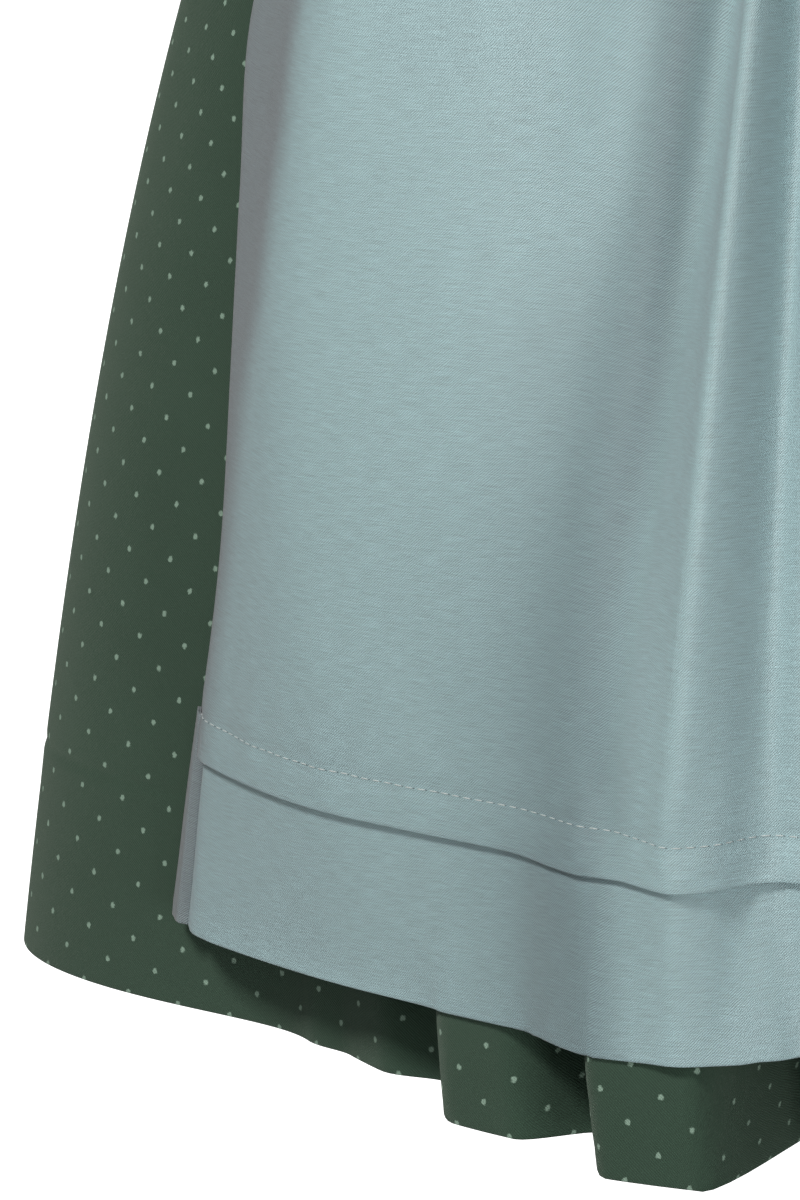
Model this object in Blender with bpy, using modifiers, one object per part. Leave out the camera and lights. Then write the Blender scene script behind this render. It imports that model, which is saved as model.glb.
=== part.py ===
"""A sleeveless dirndl dress with its apron, hanging as it is worn, hollow and with no wearer.

Frame: metres, +Z up, the front faces -Y, and the origin lies between the shoulder straps,
where the wearer's shoulders carry the dress. The dress is cut from a bodice of eight panels,
a full skirt of a front and a back, and a half-round apron on a waistband with long ties.

A place on the skirt is a turn about the upright axis and a depth below the waist seam.
Turn 0 is the centre front, 90 the wearer's right side, 180 the back and 270 the left side.
"""
import math

import bmesh
import bpy
from mathutils import Matrix, Vector

# ---------------------------------------------------------------- driving dimensions (metres)
WAIST_Z = -0.400            # waist seam below the shoulders
SKIRT_LENGTH = 0.680        # waist seam to skirt hem
CLOTH = 0.0012              # wall of the dress cloth
APRON_CLOTH = 0.0010        # wall of the apron cloth
SEAM = 0.0003               # gap between two pieces at a seam
ROUND_SEAM = 0.0006         # the same on the outside of a curve, where the walls close inwards

WAIST_HALF_WIDTH = 0.130
WAIST_HALF_DEPTH = 0.105
HEM_HALF_WIDTH = 0.313      # the hem's mean oval, before its folds
HEM_HALF_DEPTH = 0.250
FLAT_UNDER_BAND = 0.022     # the skirt stays flat this far below the waist seam
SWELL = 3.2                 # how soon the skirt rounds out, per metre
SIDE_SEAM_TURN = (93.0, 276.0)

BAND_HEIGHT = 0.032         # apron waistband and ties
BAND_STANDOFF = 0.0072      # the band's outer face, out from the dress at the waist
APRON_STANDOFF = 0.0040     # least distance from the skirt's outer face to the apron's
APRON_SOFTNESS = 0.002      # how softly it passes from its own drape to lying on the skirt
# It hangs like a tent over a fold: (turn aside, metres lower than the fold there).
BRIDGING = ((-3.0, 0.005), (-1.5, 0.002), (0.0, 0.0), (1.5, 0.002), (3.0, 0.005))
FULL_BRIDGING = 0.10        # from this far below the waist seam
APRON_TOP = 0.008           # apron's gathered top below the waist seam, behind the band
# The apron's side edges: their turn at each depth below the waist seam.
APRON_EDGE = ((0.0, 62.0), (0.15, 69.0), (0.32, 71.5), (0.38, 68.4), (0.44, 66.3), (0.50, 65.9),
              (0.57, 68.8), (0.60, 69.7), (0.64, 70.2))
APRON_HEM_RISE = (0.044, 0.034)  # apron hem above skirt hem, centre front and at the side edges
TUCK_RISE = (0.058, 0.064)  # the tuck's folded edge above the apron hem, centre and edges
TUCK_DEPTH = 0.015          # the tuck's folded edge to its stitched top
BORDER_BEHIND = 0.0017      # the border's face lies this far behind the panel's

LAP = 0.012                 # the buttoned front laps this far past the centre front
LAP_LIFT = 0.0021           # and lies this far out over the front beneath it
LAP_RAMP = (8.0, 13.0)      # the turns over which it comes down to its own side
BUTTON_COUNT = 6
BUTTON_RADIUS = 0.0065
BUTTON_HEIGHT = 0.0030

# Skirt folds, one row each, measured at the hem: a foot, then a crown from rise to fall.
# Turns are in degrees, radii in millimetres; lean turns the fold as it climbs, in degrees.
SKIRT_FOLDS = (
    # foot_turn, foot, rise_turn, fall_turn, crown, lean
    (9.5, 206, 14.5, 21.5, 280, 6),
    (27.0, 236, 32.0, 37.5, 259, 7),
    (46.0, 228, 52.0, 57.0, 239, 5),
    (62.0, 245, 91.0, 95.0, 331, 0),
    (105.0, 264, 113.0, 119.0, 300, -2),
    (128.0, 240, 136.0, 141.0, 286, 0),
    (151.0, 226, 158.0, 164.0, 281, 2),
    (173.0, 222, 181.0, 188.0, 276, 0),
    (197.0, 226, 205.0, 209.0, 272, -2),
    (219.0, 236, 226.0, 232.0, 293, 0),
    (243.0, 250, 251.0, 256.0, 304, 2),
    (267.0, 279, 273.0, 279.0, 327, 0),
    (293.0, 256, 300.0, 304.0, 268, -3),
    (313.0, 230, 320.0, 326.0, 260, -4),
    (334.0, 224, 341.0, 346.0, 276, -4),
    (352.0, 222, 357.0, 363.0, 262, 0),
)

# Apron sections, one row for each turn: how far its face lies out from the skirt's mean
# oval, in millimetres, at four depths below the waist seam and at the apron hem.
APRON_DEPTHS = (0.02, 0.16, 0.32, 0.57, 0.64)
APRON_SECTION = (
    # turn, at 20, at 160, at 320, at 570 mm, at the hem
    (-72, 2, 5, 4, -15, -18),
    (-62, 2, 6, 3, -12, -20),
    (-50, 2, 8, 6, -6, -14),
    (-38, 2, 9, 10, 4, -1),
    (-30, 2, 4, 6, 8, 6),
    (-22, 2, 11, 16, 22, 22),
    (-15, 2, 5, 7, 14, 15),
    (-7, 2, 9, 13, 15, 15),
    (3, 2, 10, 14, 15, 16),
    (10, 2, 8, 9, 16, 13),
    (14.5, 2, 2, 4, 30, 28),
    (19.5, 2, 11, 16, 31, 26),
    (26, 2, 3, 6, 20, 13),
    (34, 2, 8, 11, 5, -2),
    (43, 2, 11, 14, -4, -13),
    (52, 2, 9, 10, -9, -19),
    (61, 2, 5, 3, -11, -20),
    (72, 2, 5, 4, -15, -17),
)

# Bodice levels, one row each, from the waist seam up to the shoulder seam.
BODICE_LEVELS = (
    # height, half_width, front_depth, back_depth
    (-0.4000, 0.1300, 0.1050, 0.1050),
    (-0.3400, 0.1410, 0.1170, 0.1120),
    (-0.2900, 0.1490, 0.1320, 0.1160),
    (-0.2350, 0.1570, 0.1460, 0.1190),
    (-0.1700, 0.1640, 0.1360, 0.1200),
    (-0.1100, 0.1700, 0.1120, 0.1150),
    (-0.0600, 0.1750, 0.0850, 0.0990),
    (-0.0250, 0.1780, 0.0560, 0.0700),
    (-0.0070, 0.1790, 0.0270, 0.0340),
    (0.0000, 0.1800, 0.0000, 0.0000),
)
SHOULDER_SLOPE = 0.30       # how fast a strap drops towards the arm
NECK_X = 0.086
BUST_FULLNESS = 0.010       # the cups' rise where the front seams curve over them

# Bodice edges: the turn from the centre front at each level, counted in rows of the table above.
FRONT_NECK = ((4.15, -4.4), (4.22, 3.0), (4.40, 14.0), (4.70, 21.0), (5.2, 25.0), (6.0, 27.0),
              (7.0, 28.0), (9.0, 28.5))
FRONT_SEAM = ((0.0, 30.0), (1.0, 32.0), (2.0, 35.0), (3.0, 39.0), (4.0, 46.0), (4.6, 52.0))
FRONT_STRAP = ((4.6, 52.0), (5.0, 50.0), (6.0, 46.5), (7.0, 45.0), (8.0, 44.3), (9.0, 44.0))
SIDE_SEAM = ((0.0, 90.0), (3.0, 90.0), (3.3, 90.0))
FRONT_ARMHOLE = ((3.35, 90.0), (3.40, 83.0), (3.52, 77.0), (3.8, 69.0), (4.22, 61.0), (4.6, 54.5))
BACK_ARMHOLE = ((3.35, 90.0), (3.40, 97.0), (3.52, 103.0), (3.8, 110.0), (4.2, 117.0), (4.8, 124.0))
BACK_SEAM = ((0.0, 156.0), (1.0, 153.0), (2.0, 149.0), (3.0, 144.0), (4.0, 136.0), (4.8, 127.0))
BACK_STRAP = ((4.8, 127.0), (5.2, 129.0), (6.0, 132.0), (7.0, 134.0), (8.0, 135.4), (9.0, 136.0))
BACK_NECK = ((5.30, 180.0), (5.36, 174.0), (5.50, 167.0), (5.80, 160.5), (6.3, 156.0),
             (7.0, 153.5), (8.0, 152.0), (9.0, 151.5))

KNOT = (0.024, 0.022, 0.030)     # the bow's knot: width, depth, height
LOOP_LENGTH = 0.082
LOOP_DEPTH = 0.011
LOOP_DROOP = 18.0           # degrees
TAIL_LENGTH = 0.430

GREEN = (0.045, 0.074, 0.047, 1)
TEAL = (0.250, 0.370, 0.380, 1)
METAL = (0.42, 0.40, 0.36, 1)


# ------------------------------------------------------------------------------- helpers
def curve_value(points, at):
    """A smooth curve through (place, value) points, read at one place (Catmull-Rom)."""
    if at <= points[0][0]:
        return points[0][1]
    if at >= points[-1][0]:
        return points[-1][1]
    index = max(i for i in range(len(points) - 1) if points[i][0] <= at)
    (x0, y0), (x1, y1) = points[index], points[index + 1]
    before = points[index - 1] if index > 0 else points[index]
    after = points[index + 2] if index + 2 < len(points) else points[index + 1]
    slope0 = (y1 - before[1]) / (x1 - before[0])
    slope1 = (after[1] - y0) / (after[0] - x0)
    span = x1 - x0
    f = (at - x0) / span
    return ((2 * f ** 3 - 3 * f ** 2 + 1) * y0 + (f ** 3 - 2 * f ** 2 + f) * span * slope0
            + (3 * f ** 2 - 2 * f ** 3) * y1 + (f ** 3 - f ** 2) * span * slope1)


def ease(f):
    """A soft step from 0 to 1."""
    f = min(1.0, max(0.0, f))
    return f * f * (3 - 2 * f)


def mix(a, b, f):
    return a + (b - a) * f


def oval_radius(turn, half_width, half_depth):
    angle = math.radians(turn)
    return 1 / math.hypot(math.sin(angle) / half_width, math.cos(angle) / half_depth)


def at_turn(turn, radius, height):
    """The point at a turn about the upright axis; turn 0 is -Y and turn 90 is -X."""
    angle = math.radians(turn)
    return Vector((-radius * math.sin(angle), -radius * math.cos(angle), height))


def material(name, colour, roughness, metallic=0.0):
    made = bpy.data.materials.new(name)
    made.use_nodes = True
    shader = made.node_tree.nodes["Principled BSDF"]
    shader.inputs["Base Color"].default_value = colour
    shader.inputs["Roughness"].default_value = roughness
    shader.inputs["Metallic"].default_value = metallic
    return made


def finish(shape, name, look, sharp=40):
    """Shade the piece, give it its material and put it in the dress's collection."""
    shape.name = name
    shape.data.name = name
    shape.data.materials.append(material(name + "_cloth" if look[2] == 0 else name, *look))
    shape.data.shade_smooth()
    shape.data.set_sharp_from_angle(angle=math.radians(sharp))
    for owner in list(shape.users_collection):
        owner.objects.unlink(shape)
    bpy.data.collections["dirndl_dress"].objects.link(shape)
    return shape


def cloth(name, across, up, place, wall, look):
    """A panel: a grid whose points are put in place, with its wall on the inner side.

    across runs from the viewer's left to right on the outer face, and up runs upwards.
    """
    mesh = bpy.data.meshes.new(name)
    grid = bmesh.new()
    columns = len(across) - 1
    rows = len(up) - 1
    bmesh.ops.create_grid(grid, x_segments=columns, y_segments=rows, size=0.5)
    for vert in grid.verts:
        column = round((vert.co.x + 0.5) * columns)
        row = round((vert.co.y + 0.5) * rows)
        vert.co = place(across[column], up[row])
    grid.to_mesh(mesh)
    grid.free()
    shape = bpy.data.objects.new(name, mesh)
    bpy.context.scene.collection.objects.link(shape)
    solidify = shape.modifiers.new("wall", "SOLIDIFY")
    solidify.thickness = wall
    solidify.offset = -1
    return finish(shape, name, look)


# ------------------------------------------------------------------------------- skirt
def fold_points(column_name):
    """The skirt folds as (turn, value) points, once round and once more past each end."""
    points = []
    for foot_turn, foot, rise_turn, fall_turn, crown, lean in SKIRT_FOLDS:
        if column_name == "radius":
            points += [(foot_turn, foot), (rise_turn, crown), (fall_turn, crown)]
        else:
            points.append((rise_turn, lean))
    before = [(turn - 360, value) for turn, value in points]
    after = [(turn + 360, value) for turn, value in points]
    return before + points + after


FOLD_RADII = fold_points("radius")
FOLD_LEANS = fold_points("lean")


def soft_steps(points, turn):
    """Soft steps from each (turn, value) point to the next, level at every point."""
    turn = turn % 360
    index = max(i for i in range(len(points) - 1) if points[i][0] <= turn)
    (t0, v0), (t1, v1) = points[index], points[index + 1]
    return mix(v0, v1, ease((turn - t0) / (t1 - t0)))


def swell(depth):
    """0 at the waist seam and 1 at the hem: how far the skirt has rounded out."""
    reach = SKIRT_LENGTH - FLAT_UNDER_BAND
    free = max(0.0, depth - FLAT_UNDER_BAND)
    return (1 - math.exp(-SWELL * free)) / (1 - math.exp(-SWELL * reach))


def mean_oval(turn, depth):
    full = swell(depth)
    return oval_radius(turn, mix(WAIST_HALF_WIDTH, HEM_HALF_WIDTH, full),
                       mix(WAIST_HALF_DEPTH, HEM_HALF_DEPTH, full))


def lean_at(turn, depth):
    """How far a fold has turned at this depth; none at the hem."""
    climb = SKIRT_LENGTH - depth
    return soft_steps(FOLD_LEANS, turn) * (1 - math.exp(-climb / 0.15))


def skirt_radius(turn, depth):
    """The skirt's outer face: the mean oval, with folds that grow from waist to hem."""
    at_hem = soft_steps(FOLD_RADII, turn - lean_at(turn, depth)) / 1000
    fold = at_hem - oval_radius(turn, HEM_HALF_WIDTH, HEM_HALF_DEPTH)
    growth = max(0.0, (depth - FLAT_UNDER_BAND) / (SKIRT_LENGTH - FLAT_UNDER_BAND)) ** 0.9
    return mean_oval(turn, depth) + fold * growth


def skirt_point(turn, depth):
    turned = turn + lean_at(turn, depth)
    return at_turn(turned, skirt_radius(turned, depth), WAIST_Z - depth)


def fold_turns(first, last):
    """Column turns between two seams: the foot, slope, crown and slope of every fold."""
    turns = []
    points = [point[0] for point in FOLD_RADII]
    for here, there in zip(points, points[1:]):
        steps = 1 if there - here < 7.5 else 2
        turns += [mix(here, there, k / steps) for k in range(steps)]
    inside = [turn for turn in turns if first + 1 < turn < last - 1]
    return [first] + inside + [last]


def build_skirt():
    right_seam, left_seam = SIDE_SEAM_TURN
    gap = math.degrees(ROUND_SEAM / 2 / WAIST_HALF_WIDTH)
    depths = (SEAM / 2, FLAT_UNDER_BAND, 0.050, 0.095, 0.160, 0.245, 0.350, 0.460, 0.570,
              SKIRT_LENGTH)
    spans = {"skirt_front": (left_seam - 360 + gap, right_seam - gap),
             "skirt_back": (right_seam + gap, left_seam - gap)}
    for name, (first, last) in spans.items():
        cloth(name, fold_turns(first, last)[::-1], depths[::-1], skirt_point, CLOTH,
              (GREEN, 0.85, 0.0))


# ------------------------------------------------------------------------------- apron
def apron_offset(turn, depth):
    """The apron face's distance out from the mean oval, from the section table."""
    columns = list(zip(*APRON_SECTION))
    turns = columns[0]
    along = [(level, curve_value(list(zip(turns, column)), turn))
             for level, column in zip(APRON_DEPTHS, columns[1:])]
    return curve_value(along, depth) / 1000


def apron_radius(turn, depth):
    """The apron's outer face: its own drape, and never closer to the skirt than it may be."""
    drape = mean_oval(turn, depth) + apron_offset(turn, depth)
    bridging = min(1.0, depth / FULL_BRIDGING)
    crest = max(skirt_radius(turn + aside * bridging, depth) - lower * bridging
                for aside, lower in BRIDGING)
    clear = crest + APRON_STANDOFF
    return (drape + clear + math.hypot(drape - clear, APRON_SOFTNESS)) / 2


def apron_edge(depth):
    return curve_value(APRON_EDGE, depth)


def apron_hem_depth(side):
    """Depth of the apron hem; side runs from -1 at the left edge to 1 at the right one."""
    return SKIRT_LENGTH - mix(*APRON_HEM_RISE, abs(side))


def tuck_rise(side):
    return mix(*TUCK_RISE, abs(side))


def apron_point(side, depth, inward=0.0):
    turn = side * apron_edge(depth)
    return at_turn(turn, apron_radius(turn, depth) - inward, WAIST_Z - depth)


def build_apron():
    columns = 36
    across = [1 - 2 * k / columns for k in range(columns + 1)]
    panel_rows = (0.0, 0.021, 0.07, 0.15, 0.27, 0.43, 0.62, 0.81, 1.0, 2.0)

    def panel(side, down):
        """down is 0 at the band, 1 at the tuck's stitches and 2 at its folded edge."""
        stitches = apron_hem_depth(side) - tuck_rise(side) - TUCK_DEPTH
        return apron_point(side, mix(APRON_TOP, stitches, min(1.0, down))
                           + TUCK_DEPTH * max(0.0, down - 1))

    def border(side, down):
        """down is 0 at the tuck's stitches, 1 at its folded edge and 2 at the hem."""
        stitches = apron_hem_depth(side) - tuck_rise(side) - TUCK_DEPTH
        depth = stitches + TUCK_DEPTH * min(1.0, down) + tuck_rise(side) * max(0.0, down - 1)
        return apron_point(side, depth, BORDER_BEHIND)

    cloth("apron_panel", across, panel_rows[::-1], panel, APRON_CLOTH, (TEAL, 0.6, 0.0))
    cloth("apron_border", across, (2.0, 1.55, 1.0, 0.0), border, APRON_CLOTH, (TEAL, 0.6, 0.0))


# ------------------------------------------------------------------------- band and ties
def band_point(turn, rise):
    radius = oval_radius(turn, WAIST_HALF_WIDTH + BAND_STANDOFF, WAIST_HALF_DEPTH + BAND_STANDOFF)
    return at_turn(turn, radius, WAIST_Z + rise)


def strip_turns(first, last, columns):
    return [mix(first, last, k / columns) for k in range(columns + 1)]


def build_band_and_ties():
    half = BAND_HEIGHT / 2
    band_edge = APRON_EDGE[0][1] + 2
    gap = math.degrees(SEAM / 2 / WAIST_HALF_WIDTH)
    spans = {"apron_waistband": (band_edge - gap, -band_edge + gap, 20),
             "apron_tie_right": (180 - gap, band_edge + gap, 16),
             "apron_tie_left": (-band_edge - gap, -180 + gap, 16)}
    for name, (first, last, columns) in spans.items():
        cloth(name, strip_turns(first, last, columns), (-half, half), band_point,
              APRON_CLOTH * 1.2, (TEAL, 0.6, 0.0))


def bow_centre():
    behind = WAIST_HALF_DEPTH + BAND_STANDOFF + SEAM + KNOT[1] / 2
    return Vector((0, behind, WAIST_Z))


def build_bow():
    """The bow at the centre back: a knot, two loops and two tails."""
    bpy.ops.mesh.primitive_cube_add(size=1)
    knot = bpy.context.object
    knot.data.transform(Matrix.Diagonal((KNOT[0] * 1.2, KNOT[1] * 1.2, KNOT[2] * 1.15, 1)))
    knot.data.transform(Matrix.Translation(bow_centre()))
    soft = knot.modifiers.new("soft", "SUBSURF")
    soft.levels = 2
    soft.render_levels = 2
    finish(knot, "bow_knot", (TEAL, 0.6, 0.0), 180)

    start = 0.045
    steps = 20
    along = [mix(start, 1 - start, k / steps) for k in range(steps + 1)]
    for name, side in (("bow_loop_right", -1), ("bow_loop_left", 1)):
        def loop(way, rise, side=side):
            out = KNOT[0] / 2 + 0.0016 + LOOP_LENGTH * (math.sin(math.pi * way) ** 1.3 - 0.08)
            back = LOOP_DEPTH * math.sin(2 * math.pi * way) * (1 + 0.3 * math.sin(math.pi * way))
            narrow = mix(0.62, 1.0, ease(math.sin(math.pi * way) * 1.6))
            local = Vector((out, back * side, rise * narrow))
            turned = Matrix.Rotation(math.radians(LOOP_DROOP), 3, "Y") @ local
            turned.x *= side
            return bow_centre() + Vector((turned.x, turned.y, turned.z))
        cloth(name, along, (-BAND_HEIGHT / 2, BAND_HEIGHT / 2), loop, APRON_CLOTH,
              (TEAL, 0.6, 0.0))

    for name, side in (("bow_tail_right", -1), ("bow_tail_left", 1)):
        def tail(across, depth, side=side):
            lie = ease((depth - 0.018) / 0.08)
            sway = side * (mix(0.0085, 0.019, lie) + (0.024 + 0.012 * side) * ease(depth / 0.35))
            x = sway + across * mix(0.45, 1.0, lie)
            turn = 180 + math.degrees(math.atan2(x, mix(0.11, 0.24, swell(depth))))
            off = mix(0.0105, 0.0042, lie)
            return at_turn(turn, skirt_radius(turn, depth) + off, WAIST_Z - depth)
        half = BAND_HEIGHT / 2
        top = KNOT[2] / 2 + 0.003
        rows = [mix(TAIL_LENGTH, top, k / 15) for k in range(16)]
        cloth(name, (half, 0.0, -half), rows, tail, APRON_CLOTH, (TEAL, 0.6, 0.0))


# ------------------------------------------------------------------------------- bodice
def level_value(column, level):
    return curve_value([(row, values[column]) for row, values in enumerate(BODICE_LEVELS)], level)


def bodice_point(side, turn, level, lift=0.0):
    """A point on the bodice's outer face; side is -1 for the wearer's right and 1 for left."""
    angle = math.radians(turn)
    half_width = level_value(1, level) + lift
    half_depth = max(0.0, level_value(2 if turn < 90 else 3, level)) + lift
    cup = (BUST_FULLNESS * math.exp(-((turn - 37) / 17) ** 2)
           * math.exp(-((level - 2.9) / 0.8) ** 2))
    x = (half_width + cup * 0.6) * math.sin(angle)
    y = -(half_depth + cup) * math.cos(angle)
    drop = SHOULDER_SLOPE * (abs(x) - NECK_X) * ease((level - 5) / 4)
    return Vector((side * x, y, level_value(0, level) - drop))


def bodice_panel(name, side, levels, inner, outer, columns, lift=None):
    """A panel between two edges, each a turn at a level; inner is nearer the centre front."""
    def place(share, level):
        turn = mix(inner(level), outer(level), share)
        return bodice_point(side, turn, level, lift(turn) if lift else 0.0)
    shares = [k / columns for k in range(columns + 1)]
    if side < 0:
        shares = shares[::-1]
    cloth(name, shares, levels, place, CLOTH, (GREEN, 0.85, 0.0))


def build_bodice():
    """Eight panels: front, side front, side back and back, for each side."""
    gap = math.degrees(ROUND_SEAM / 2 / 0.125)
    foot = SEAM / 2 / 0.06
    top = 9 - 0.02

    def edge(lower, upper, shift=0.0):
        """One edge that runs up the seam and on along the armhole or the neckline."""
        return lambda level: curve_value(lower + upper[1:], level) + shift

    def past_front(level):
        return -math.degrees(math.asin(LAP / level_value(1, level)))

    def front_inner(level):
        return past_front(level) if level < 4.16 else curve_value(FRONT_NECK, level)

    def back_inner(level):
        return min(180 - gap, curve_value(BACK_NECK, level))

    below_arm = (foot, 0.6, 1.2, 1.8, 2.4, 2.9, 3.35)
    side_front = below_arm + (3.40, 3.52, 3.8, 4.15, 4.22, 4.4, 4.6)
    side_back = below_arm + (3.40, 3.52, 3.8, 4.2, 4.8)
    front_levels = side_front + (5.2, 6, 7, 8, 8.6, top)
    back_levels = side_back + (5.3, 5.36, 5.5, 5.8, 6.3, 7, 8, 8.6, top)
    for side, word in ((-1, "right"), (1, "left")):
        def lap_lift(turn, side=side):
            down = ease((turn - LAP_RAMP[0]) / (LAP_RAMP[1] - LAP_RAMP[0]))
            return LAP_LIFT * (1 - down) if side < 0 else 0.0
        bodice_panel("bodice_front_" + word, side, front_levels, front_inner,
                     edge(FRONT_SEAM, FRONT_STRAP, -gap), 6, lap_lift)
        bodice_panel("bodice_side_front_" + word, side, side_front,
                     edge(FRONT_SEAM, FRONT_STRAP, gap),
                     edge(SIDE_SEAM, FRONT_ARMHOLE, -gap), 4)
        bodice_panel("bodice_side_back_" + word, side, side_back,
                     edge(SIDE_SEAM, BACK_ARMHOLE, gap),
                     edge(BACK_SEAM, BACK_STRAP, -gap), 4)
        bodice_panel("bodice_back_" + word, side, back_levels,
                     edge(BACK_SEAM, BACK_STRAP, gap), back_inner, 4)


def build_buttons():
    """Turned buttons down the centre front, each square to the bodice where it sits."""
    profile = ((0.0, 1.0), (0.62, 0.92), (0.78, 1.0), (1.0, 0.6), (0.94, 0.0), (0.0, 0.0))
    for k in range(BUTTON_COUNT):
        level = mix(0.62, 3.85, k / (BUTTON_COUNT - 1))
        here = bodice_point(-1, 0.0, level, LAP_LIFT)
        above = bodice_point(-1, 0.0, level + 0.05, LAP_LIFT)
        outward = (above - here).normalized().cross(Vector((1, 0, 0)))
        outward = -outward if outward.y > 0 else outward
        mesh = bpy.data.meshes.new("button")
        mesh.from_pydata([(r * BUTTON_RADIUS, 0, z * BUTTON_HEIGHT) for r, z in profile],
                         [(i, i + 1) for i in range(len(profile) - 1)], [])
        button = bpy.data.objects.new("button", mesh)
        bpy.context.scene.collection.objects.link(button)
        turned = button.modifiers.new("turned", "SCREW")
        turned.steps = 14
        turned.render_steps = 14
        turned.use_merge_vertices = True
        turned.merge_threshold = 0.00001
        button.rotation_mode = "QUATERNION"
        button.rotation_quaternion = outward.to_track_quat("Z", "Y")
        button.location = here + outward * SEAM * 1.6
        finish(button, "button_%d" % (k + 1), (METAL, 0.35, 1.0))


def main():
    for old in list(bpy.data.objects):
        bpy.data.objects.remove(old, do_unlink=True)
    bpy.context.scene.collection.children.link(bpy.data.collections.new("dirndl_dress"))
    build_skirt()
    build_apron()
    build_band_and_ties()
    build_bow()
    build_bodice()
    build_buttons()


main()
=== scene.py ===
# %% [markdown]
# # A dirndl dress with its apron
# The dress hangs as it is worn, filled out and hollow. It has a fitted bodice of eight panels, a full
# gathered skirt of dark green twill with small pale spots, and a half-round apron of shot twill.
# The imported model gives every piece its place. Each cloth here is a thin sheet laid on its solid's form.

import math

import bmesh
import bpy
import numpy as np
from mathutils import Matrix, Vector


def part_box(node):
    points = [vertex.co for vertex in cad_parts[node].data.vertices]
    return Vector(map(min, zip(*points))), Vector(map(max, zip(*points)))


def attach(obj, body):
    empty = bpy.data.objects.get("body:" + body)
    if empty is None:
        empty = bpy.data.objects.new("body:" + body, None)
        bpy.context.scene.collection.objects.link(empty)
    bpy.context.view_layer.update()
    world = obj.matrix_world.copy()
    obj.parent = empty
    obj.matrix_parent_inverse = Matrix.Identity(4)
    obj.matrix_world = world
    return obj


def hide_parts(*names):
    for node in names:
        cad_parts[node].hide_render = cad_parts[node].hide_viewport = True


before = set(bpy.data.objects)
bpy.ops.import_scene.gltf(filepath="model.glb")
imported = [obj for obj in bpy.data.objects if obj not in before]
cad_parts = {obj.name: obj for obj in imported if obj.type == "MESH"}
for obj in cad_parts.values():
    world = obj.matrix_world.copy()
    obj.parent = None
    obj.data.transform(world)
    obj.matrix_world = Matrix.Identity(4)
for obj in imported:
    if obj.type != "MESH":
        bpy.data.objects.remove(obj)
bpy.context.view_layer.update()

# %% [markdown]
# ## Sizes
# Everything is in metres, with +Z up and the front facing -Y. Heights come from the frame: the waist seam
# is the top of the skirt and the hem is its foot. A place on the skirt is a turn about the upright axis,
# 0 at the centre front and 90 at the wearer's right, and a depth below the waist seam.

# %% Sizes read from the frame
MM = 0.001
WAIST_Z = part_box("skirt_front")[1].z
HEM_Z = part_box("skirt_front")[0].z
SKIRT_LENGTH = WAIST_Z - HEM_Z
BAND_LOW, BAND_HIGH = (corner.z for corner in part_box("apron_waistband"))
WAIST_HALF_WIDTH = 0.130
WAIST_HALF_DEPTH = 0.105
HEM_HALF_WIDTH = 0.313
HEM_HALF_DEPTH = 0.250
FLAT_UNDER_BAND = 0.022
SWELL = 3.2
print("waist at %.3f, skirt length %.3f" % (WAIST_Z, SKIRT_LENGTH))


# %% [markdown]
# ## Curves through short tables
# A drape is easier to judge from a few numbers than from a mesh, so folds are kept in tables with a row
# for each fold. These helpers read a smooth value between the rows. They take whole arrays at once,
# because numpy works out a hundred thousand points faster than a loop does.

# %% Reading the tables
def ease(f):
    """A soft step from 0 to 1."""
    f = np.clip(f, 0.0, 1.0)
    return f * f * (3 - 2 * f)


def mix(a, b, f):
    return a + (b - a) * f


def through(points, at):
    """A smooth curve through (place, value) points, read at an array of places."""
    xs = np.array([p[0] for p in points], float)
    ys = np.array([p[1] for p in points], float)
    slopes = np.zeros_like(ys)
    slopes[1:-1] = (ys[2:] - ys[:-2]) / (xs[2:] - xs[:-2])
    slopes[0] = (ys[1] - ys[0]) / (xs[1] - xs[0])
    slopes[-1] = (ys[-1] - ys[-2]) / (xs[-1] - xs[-2])
    at = np.clip(np.asarray(at, float), xs[0], xs[-1])
    i = np.clip(np.searchsorted(xs, at, side="right") - 1, 0, len(xs) - 2)
    span = xs[i + 1] - xs[i]
    f = (at - xs[i]) / span
    return ((2 * f ** 3 - 3 * f ** 2 + 1) * ys[i] + (f ** 3 - 2 * f ** 2 + f) * span * slopes[i]
            + (3 * f ** 2 - 2 * f ** 3) * ys[i + 1] + (f ** 3 - f ** 2) * span * slopes[i + 1])


def soft_steps(points, at):
    """Soft steps from each (place, value) point to the next, level at every point."""
    xs = np.array([p[0] for p in points], float)
    ys = np.array([p[1] for p in points], float)
    i = np.clip(np.searchsorted(xs, at, side="right") - 1, 0, len(xs) - 2)
    return mix(ys[i], ys[i + 1], ease((at - xs[i]) / (xs[i + 1] - xs[i])))


def ripple(at, seed, waves, lowest, highest):
    """A gentle uneven wave from -1 to 1: a few sines with fixed, seeded lengths and starts."""
    draw = np.random.default_rng(seed)
    total = np.zeros_like(np.asarray(at, float))
    for _ in range(waves):
        total += np.sin(at * draw.uniform(lowest, highest) + draw.uniform(0, 6.28))
    return total / waves


# %% [markdown]
# ## The skirt's folds
# The skirt is a long straight strip of cloth gathered into the waist. Its fullness falls in uneven pipes
# that start as small gathers and grow towards the hem. Each row below is one pipe at the hem: where its
# foot lies, where its crown starts and ends, and how far both are from the upright axis.

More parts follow.
